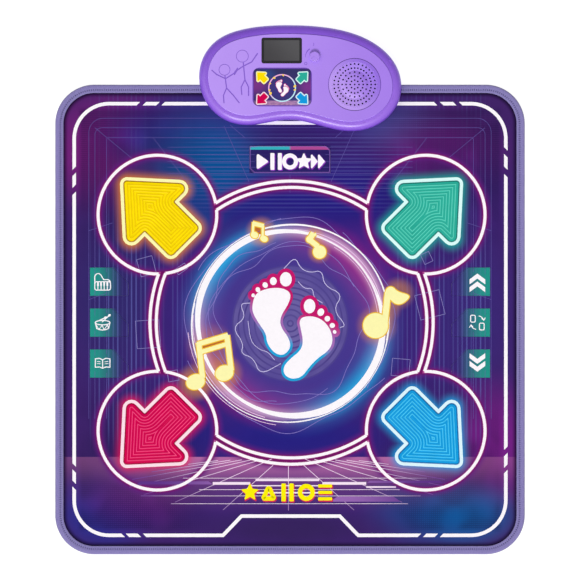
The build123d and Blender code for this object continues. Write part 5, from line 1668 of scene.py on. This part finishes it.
# --- Keys and backing -------------------------------------------------------------------------------
def key_surface(node, outline):
    """The height of a key's cloth face at a place: it swells softly inside a pressed-in rim."""
    top = box_mm(node)[1].z
    sides = [(Vector(a), Vector(b)) for a, b in zip(outline, outline[1:] + outline[:1])]

    def height(x, y):
        inset = 1e9
        for a, b in sides:
            along = b - a
            share = min(max((Vector((x, y)) - a).dot(along) / along.length_squared, 0), 1)
            inset = min(inset, (Vector((x, y)) - a - along * share).length)
        rim = KEY_RIM * (1 - min(inset / 2, 1))
        return top - rim + KEY_SWELL * (1 - math.exp(-max(inset - 3, 0) / 5))

    return height


def cloth_patch(name, node, outline, body, slot, material):
    """A closed piece of the printed cloth over a key, with a softly swollen face and a pressed-in rim."""
    low, high = box_mm(node)
    ink = Ink()
    loop = tidy_loop(outline)
    ink.fill(loop)
    mesh = ink.mesh
    bmesh.ops.remove_doubles(mesh, verts=mesh.verts[:], dist=0.005)
    bmesh.ops.subdivide_edges(mesh, edges=mesh.edges[:], cuts=2, use_grid_fill=True)
    bmesh.ops.triangulate(mesh, faces=mesh.faces[:])
    surface = key_surface(node, loop)
    heights = {vert: surface(vert.co.x, vert.co.y) for vert in mesh.verts}
    twin, _ = close_film(mesh)
    for vert, z in heights.items():
        vert.co.z = z
        twin[vert].co.z = low.z + KEY_ROOM
    piece = new_object(name, mesh, body, slot, material, smooth=True)
    smooth_by_angle(piece, 50)
    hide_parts(node)


def make_keys():
    cloth = bpy.data.materials["printed_cover"]
    for name in SIDE_KEYS:
        node = "key_" + name
        outline = key_outline(node, 0.0)
        cloth_patch("face_" + name, node, outline, "press_" + name, "key_print", cloth)
    cloth_patch("face_start", "key_start", start_outline(0.0), "press_start", "start_print", cloth)


def make_backing():
    """The anti-slip backing: a rubbered cloth with rows of raised dots underneath."""
    half = MAT_HALF - BINDING_T
    top = box_mm("anti_slip_backing")[1].z
    mesh = bmesh.new()
    outline = tidy_loop(rounded_square(half, MAT_RADIUS - BINDING_T, 16))
    rim_low = [mesh.verts.new((p[0], p[1], DOT_RISE)) for p in outline]
    rim_top = [mesh.verts.new((p[0], p[1], top)) for p in outline]
    mesh.faces.new(rim_top)
    mesh.faces.new(rim_low[::-1])
    for a, b, c, d in zip(rim_low, rim_low[1:] + rim_low[:1], rim_top[1:] + rim_top[:1], rim_top):
        mesh.faces.new((a, b, c, d))
    count = int((half - BINDING_WIDTH) / DOT_PITCH)
    corner = MAT_HALF - MAT_RADIUS
    for i in range(-count, count + 1):
        for j in range(-count, count + 1):
            x, y = i * DOT_PITCH, j * DOT_PITCH
            bend = math.hypot(max(abs(x) - corner, 0), max(abs(y) - corner, 0))
            if MAT_RADIUS - bend < BINDING_WIDTH + DOT_R or under_box(x, y):
                continue
            rings = []
            for radius, z in ((DOT_R, DOT_RISE), (DOT_R * 0.7, 0.0)):
                ring = ellipse_pairs(x, y, radius, radius, 6)
                rings.append([mesh.verts.new((px, py, z)) for px, py in ring])
            skin(mesh, rings[::-1])
            mesh.faces.new(rings[-1][::-1])
            mesh.faces.new(rings[0])
    backing = new_object("backing_cloth", mesh, ROOT, "backing", dotted_rubber())
    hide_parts("anti_slip_backing")


def under_box(x, y):
    low, high = box_mm("mat_clamp_strip")
    return low.x - 4 < x < high.x + 4 and low.y - 4 < y < high.y + 4


# --- The control box --------------------------------------------------------------------------------
def label_material():
    """The label's printed ground: deep blue and violet with magenta light, and a pink floor at the front."""
    net = Net("label_print")
    at = middle("label_panel")
    local = net.vector("SUBTRACT", net.vector("MULTIPLY", net.mm, (1, 1, 0)), (at.x, at.y, 0))
    x, y, _ = net.split(local)
    color = tone("#2a1b66")
    for (px, py), (rx, ry), code, strength in (
        ((-48, 4), (26, 22), "#7c1c84", 0.85),
        ((50, 0), (24, 22), "#7a1f8a", 0.85),
        ((0, 30), (60, 14), "#1c1a5c", 0.80),
        ((0, -6), (36, 26), "#2c2a8a", 0.60),
        ((-30, 24), (20, 12), "#134a90", 0.60),
        ((36, -30), (26, 12), "#1d4f98", 0.60),
    ):
        away = net.vector("MULTIPLY", net.vector("SUBTRACT", local, (px, py, 0)), (1 / rx, 1 / ry, 0))
        share = net.fade(net.vector("LENGTH", away), 0.1, 1.3, strength, 0.0)
        color = net.mix(share, color, tone(code))
    floor = net.times(net.fade(y, -26.5, -25.5, 1, 0), net.fade(net.size(x), 20, 52, 1, 0.35))
    streaks = net.fade(net.noise(0.35, 2, net.vector("MULTIPLY", local, (0.4, 3, 0))), 0.35, 0.7)
    color = net.mix(net.times(floor, net.fade(streaks, 0, 1, 0.35, 0.85)), color, tone("#d79ac8"))
    edge = net.larger(net.minus(net.size(x), 54.3), net.minus(net.size(y), 34.6))
    color = net.mix(net.fade(edge, 0, 0.6), color, tone("#6a3fb4"))
    return net.finish(color, net.uneven(60, 2, 0.20, 0.28), Coat_Weight=0.4, Coat_Roughness=0.08)


def label_print(white):
    """The small picture on the label: four arrows, a ring, a pair of footprints and sparks."""
    at = middle("label_panel")
    top = box_mm("label_panel")[1].z
    scale = 0.145
    for pad, (sx, sy) in PADS.items():
        turn = math.atan2(sy, sx)
        c, s = math.cos(turn), math.sin(turn)
        cx, cy = at.x + sx * 38.7, at.y - 1.9 + sy * 20.6
        for grow, code, lift in ((14.0, PAD_TONES[pad][2], 0.02), (0.0, PAD_TONES[pad][0], 0.06)):
            ink = Ink(top=top, lift=lift)
            points = tidy_loop(arrow_points(grow))
            spots = [(cx + scale * (p.x * c - p.y * s), cy + scale * (p.x * s + p.y * c)) for p in points]
            ink.fill(spots)
            suffix = "rim" if grow else "fill"
            material = ink_material(f"label_arrow_{pad}_{suffix}", code, 0.3)
            ink.piece(f"label_arrow_{pad}_{suffix}", material, ROOT, "label")
    cx, cy = at.x - 0.2, at.y - 1.9
    ink = Ink(top=top, lift=0.02)
    ink.stroke(arc(cx, cy, 25.5, 0, 352, 8), 2.2, closed=True)
    slant = cx - cy
    material = two_tone_ink("label_ring_ink", "#f7b6e2", "#c4f0ff", (1, -1, 0), slant - 20, slant + 20)
    ink.piece("label_ring", material, ROOT, "label")
    ink = Ink(top=top, lift=0.05)
    for turn, size in ((205, 3.2), (160, 2.2), (85, 2.2), (128, 2.6), (8, 3.0), (352, 2.4), (190, 2.4)):
        t = math.radians(turn)
        ink.blob(cx + 24.5 * math.cos(t), cy + 24.5 * math.sin(t), size, size * 0.75, turn + 40, 12)
    ink.piece("label_sparks", ink_material("label_spark_ink", "#ffd75c", 0.3), ROOT, "label")
    rim, body = Ink(top=top, lift=0.03), Ink(top=top, lift=0.12)
    draw_feet(rim, body, cx - 0.4, cy + 0.6, 0.155)
    rim.piece("label_foot_rims", ink_material("label_foot_rim_ink", "#c82f8c", 0.3), ROOT, "label")
    body.piece("label_feet", white, ROOT, "label")


def display_material():
    """The dull grey display behind its window, with a painted sheen that grows lighter towards the right and
    the back.
    """
    net = Net("display_glass")
    at = middle("display_window")
    x, y, _ = net.split(net.vector("SUBTRACT", net.mm, tuple(at)))
    # painted reflection: the display is lighter towards the right and the back
    painted_sheen = net.fade(net.plus(x, y), -45, 45, 0.0, 1.0)
    color = net.mix(painted_sheen, tone("#3a383c"), tone("#4e4d50"))
    color = net.mottle(color, net.noise(900, 2), 0.95, 1.03)
    return net.finish(color, net.uneven(50, 2, 0.16, 0.24), Coat_Weight=0.5, Coat_Roughness=0.06)


def shell_material():
    """The box's violet plastic, with painted light and shade: its top lighter on the left and darker on the
    right, its flanks deeper, darker towards the back and towards their foot, and darker in its engravings.
    """
    net = Net("box_shell")
    x, y, z = net.split(net.mm)
    # painted light and shade: the top is lighter on the left and darker on the right
    across = net.mix(net.fade(x, -160, 200), tone("#bb95f8"), tone("#a67cec"))
    # painted shade: the flanks are deeper than the top, darker towards the back and towards their foot
    rim = net.mix(net.fade(y, 380, 545), tone("#9a6ae2"), tone("#804ed0"))
    color = net.mix(net.fade(z, 42.5, 43.4), rim, across)
    color = net.mix(net.fade(z, 31, 42.4, 0, 1, smooth=False), tone("#7340d0"), color)
    # painted shade: darker just below the top's face, in the engravings and the step round the top
    under_face = net.fade(z, PLATEAU_Z - 0.45, PLATEAU_Z - 0.05, 1, 0)
    painted_recess_shade = net.times(under_face, net.fade(z, PLATEAU_Z - 1.5, PLATEAU_Z - 1.2))
    color = net.mix(net.times(painted_recess_shade, 0.75), color, tone("#6d3fc0"))
    color = net.mottle(color, net.noise(9, 3), 0.97, 1.02)
    return finish_shell(net, color)


def finish_shell(net, color):
    """The box's plastic in a colour: a fine spark-eroded grain and a low gloss."""
    net.bump(net.noise(1700, 2), 0.04, 0.0002)
    return net.finish(color, net.uneven(30, 3, 0.30, 0.38), Coat_Weight=0.12, Coat_Roughness=0.2)


def grille_material():
    """The speaker grille: the shell's plastic with painted light and shade, paler at its left and darker at
    its right, and with painted shade in its holes.
    """
    net = Net("grille_plastic")
    at = middle("speaker_grille")
    x, y, _ = net.split(net.vector("SUBTRACT", net.mm, tuple(at)))
    # painted light and shade across the grille: paler at the lower left, darker at the upper right
    lean = net.fade(net.plus(net.times(x, 0.8), net.times(y, 0.6)), -40, 46)
    color = net.mix(lean, tone("#bc98f4"), tone("#946ae2"))
    # painted shade on faces that turn away from straight up: the walls of the holes
    facing = net.split(net.tree.nodes["Texture Coordinate"].outputs["Normal"])[2]
    color = net.mix(net.fade(facing, 0.2, 0.6, 0.9, 0), color, tone("#2a1656"))
    return finish_shell(net, color)


def board_material():
    net = Net("circuit_board")
    x, y, _ = net.split(net.mm)
    tracks = net.larger(net.stripes(x, 2.4, 0.3), net.stripes(y, 3.1, 0.25))
    tracks = net.times(tracks, net.fade(net.noise(120, 2), 0.45, 0.55))
    color = net.mix(net.times(tracks, 0.5), tone("#14603a"), tone("#2f8a56"))
    return net.finish(color, 0.35, Coat_Weight=0.3, Coat_Roughness=0.2)


def speaker_cloth(name, code):
    net = Net(name)
    fibre = net.noise(700, 4)
    color = net.mottle(tone(code), fibre, 0.8, 1.1)
    net.bump(fibre, 0.4, 0.0002)
    return net.finish(color, 0.85)


def dress_cad():
    """A material for every CAD part that stays as it is, by the part's slot in the record."""
    shell, grille = shell_material(), grille_material()
    dark = plastic("dark_plastic", "#15141a", 0.22, 0.03, 0.3)
    by_slot = {
        "backing": soft_material("backing_rubber", "#2b2830"),
        "foam": soft_material("foam", "#d8d6dc", 0.9, 700, 0.5),
        "film": soft_material("membrane_film", "#b9c3cc", 0.3, 60, 0.05),
        "spacer": soft_material("membrane_spacer", "#e8e6e2", 0.8, 500, 0.3),
        "contact": soft_material("carbon_contact", "#222226", 0.6, 900, 0.2),
        "shell": shell,
        "dark_plastic": dark,
        "window_clear": display_material(),
        "label": label_material(),
        "board": board_material(),
        "components": plastic("components", "#24242a", 0.4),
        "light": plastic("light_chips", "#e8e4c8", 0.25, 0.02, 0.4),
        "ribbon": soft_material("ribbon", "#c8c4bc", 0.5, 200, 0.1),
        "steel": metal("steel", "#b4b4b8", 0.3),
        "magnet": metal("magnet", "#5a5a60", 0.45),
        "cone_paper": speaker_cloth("cone_paper", "#2c2a30"),
        "surround": speaker_cloth("surround", "#1c1a20"),
        "cell": plastic("cell_sleeve", "#2f6fb4", 0.3, 0.03, 0.3),
        "wire": plastic("wire_sleeve", "#b03030", 0.45, 0.05),
        "foot": soft_material("foot_rubber", "#26242a"),
    }
    for entry in frame["record"]["subparts"]:
        obj = frame["nodes"][entry["node"]]
        if not obj.hide_render:
            obj.data.materials.clear()
            special = {"speaker_grille": grille}.get(entry["node"])
            obj.data.materials.append(special or by_slot[entry["material_slot"]])


# --- Stage, lights and camera -----------------------------------------------------------------------
def floor_and_light():
    """A white floor and room, a soft key from the front and above, and a faint fill from the back."""
    scene = bpy.context.scene
    scene.view_settings.view_transform = "Standard"
    mesh = bmesh.new()
    bmesh.ops.create_grid(mesh, x_segments=1, y_segments=1, size=30)
    data = bpy.data.meshes.new("floor")
    mesh.to_mesh(data)
    mesh.free()
    floor = bpy.data.objects.new("floor", data)
    scene.collection.objects.link(floor)
    floor.location.z = -0.0005
    net = Net("floor")
    paper = net.fade(net.noise(3, 2), 0.3, 0.7, 0.28, 0.30, smooth=False)
    net.shader.inputs["Emission Strength"].default_value = 0.9
    net.shader.inputs["Emission Color"].default_value = (1, 1, 1, 1)
    data.materials.append(net.finish(net.join(paper, paper, paper), 0.9, Specular_IOR_Level=0.0))

    world = bpy.data.worlds.new("room")
    scene.world = world
    world.use_nodes = True
    sky = world.node_tree.nodes["Background"]
    sky.inputs["Color"].default_value = (1, 1, 1, 1)
    sky.inputs["Strength"].default_value = SKY

    for name, way, share, size in (
        ("key", (-0.10, -0.62, 0.78), 0.50, 24),
        ("fill", (-0.60, -0.10, 0.79), 0.10, 40),
    ):
        lamp = bpy.data.lights.new(name, "SUN")
        lamp.angle = math.radians(size)
        way = Vector(way).normalized()
        lamp.energy = share * math.pi / way.z
        sun = bpy.data.objects.new(name, lamp)
        scene.collection.objects.link(sun)
        sun.rotation_mode = "QUATERNION"
        sun.rotation_quaternion = way.to_track_quat("Z", "Y")


def camera():
    """A long lens straight above, a little behind the mat's centre."""
    data = bpy.data.cameras.new("camera")
    eye = bpy.data.objects.new("camera", data)
    bpy.context.scene.collection.objects.link(eye)
    eye.location = (0.0, VIEW_Y * MM, CAMERA_HEIGHT)
    data.sensor_width = SENSOR
    data.lens = SENSOR * CAMERA_HEIGHT / (VIEW_WIDTH * MM)
    data.clip_end = 100.0
    bpy.context.scene.camera = eye


white_ink = ink_material("white_ink", "#fffaff")
make_cover()
make_keys()
make_backing()
make_binding()
make_windows()
make_print(white_ink)
label_print(white_ink)
dress_cad()
floor_and_light()
camera()
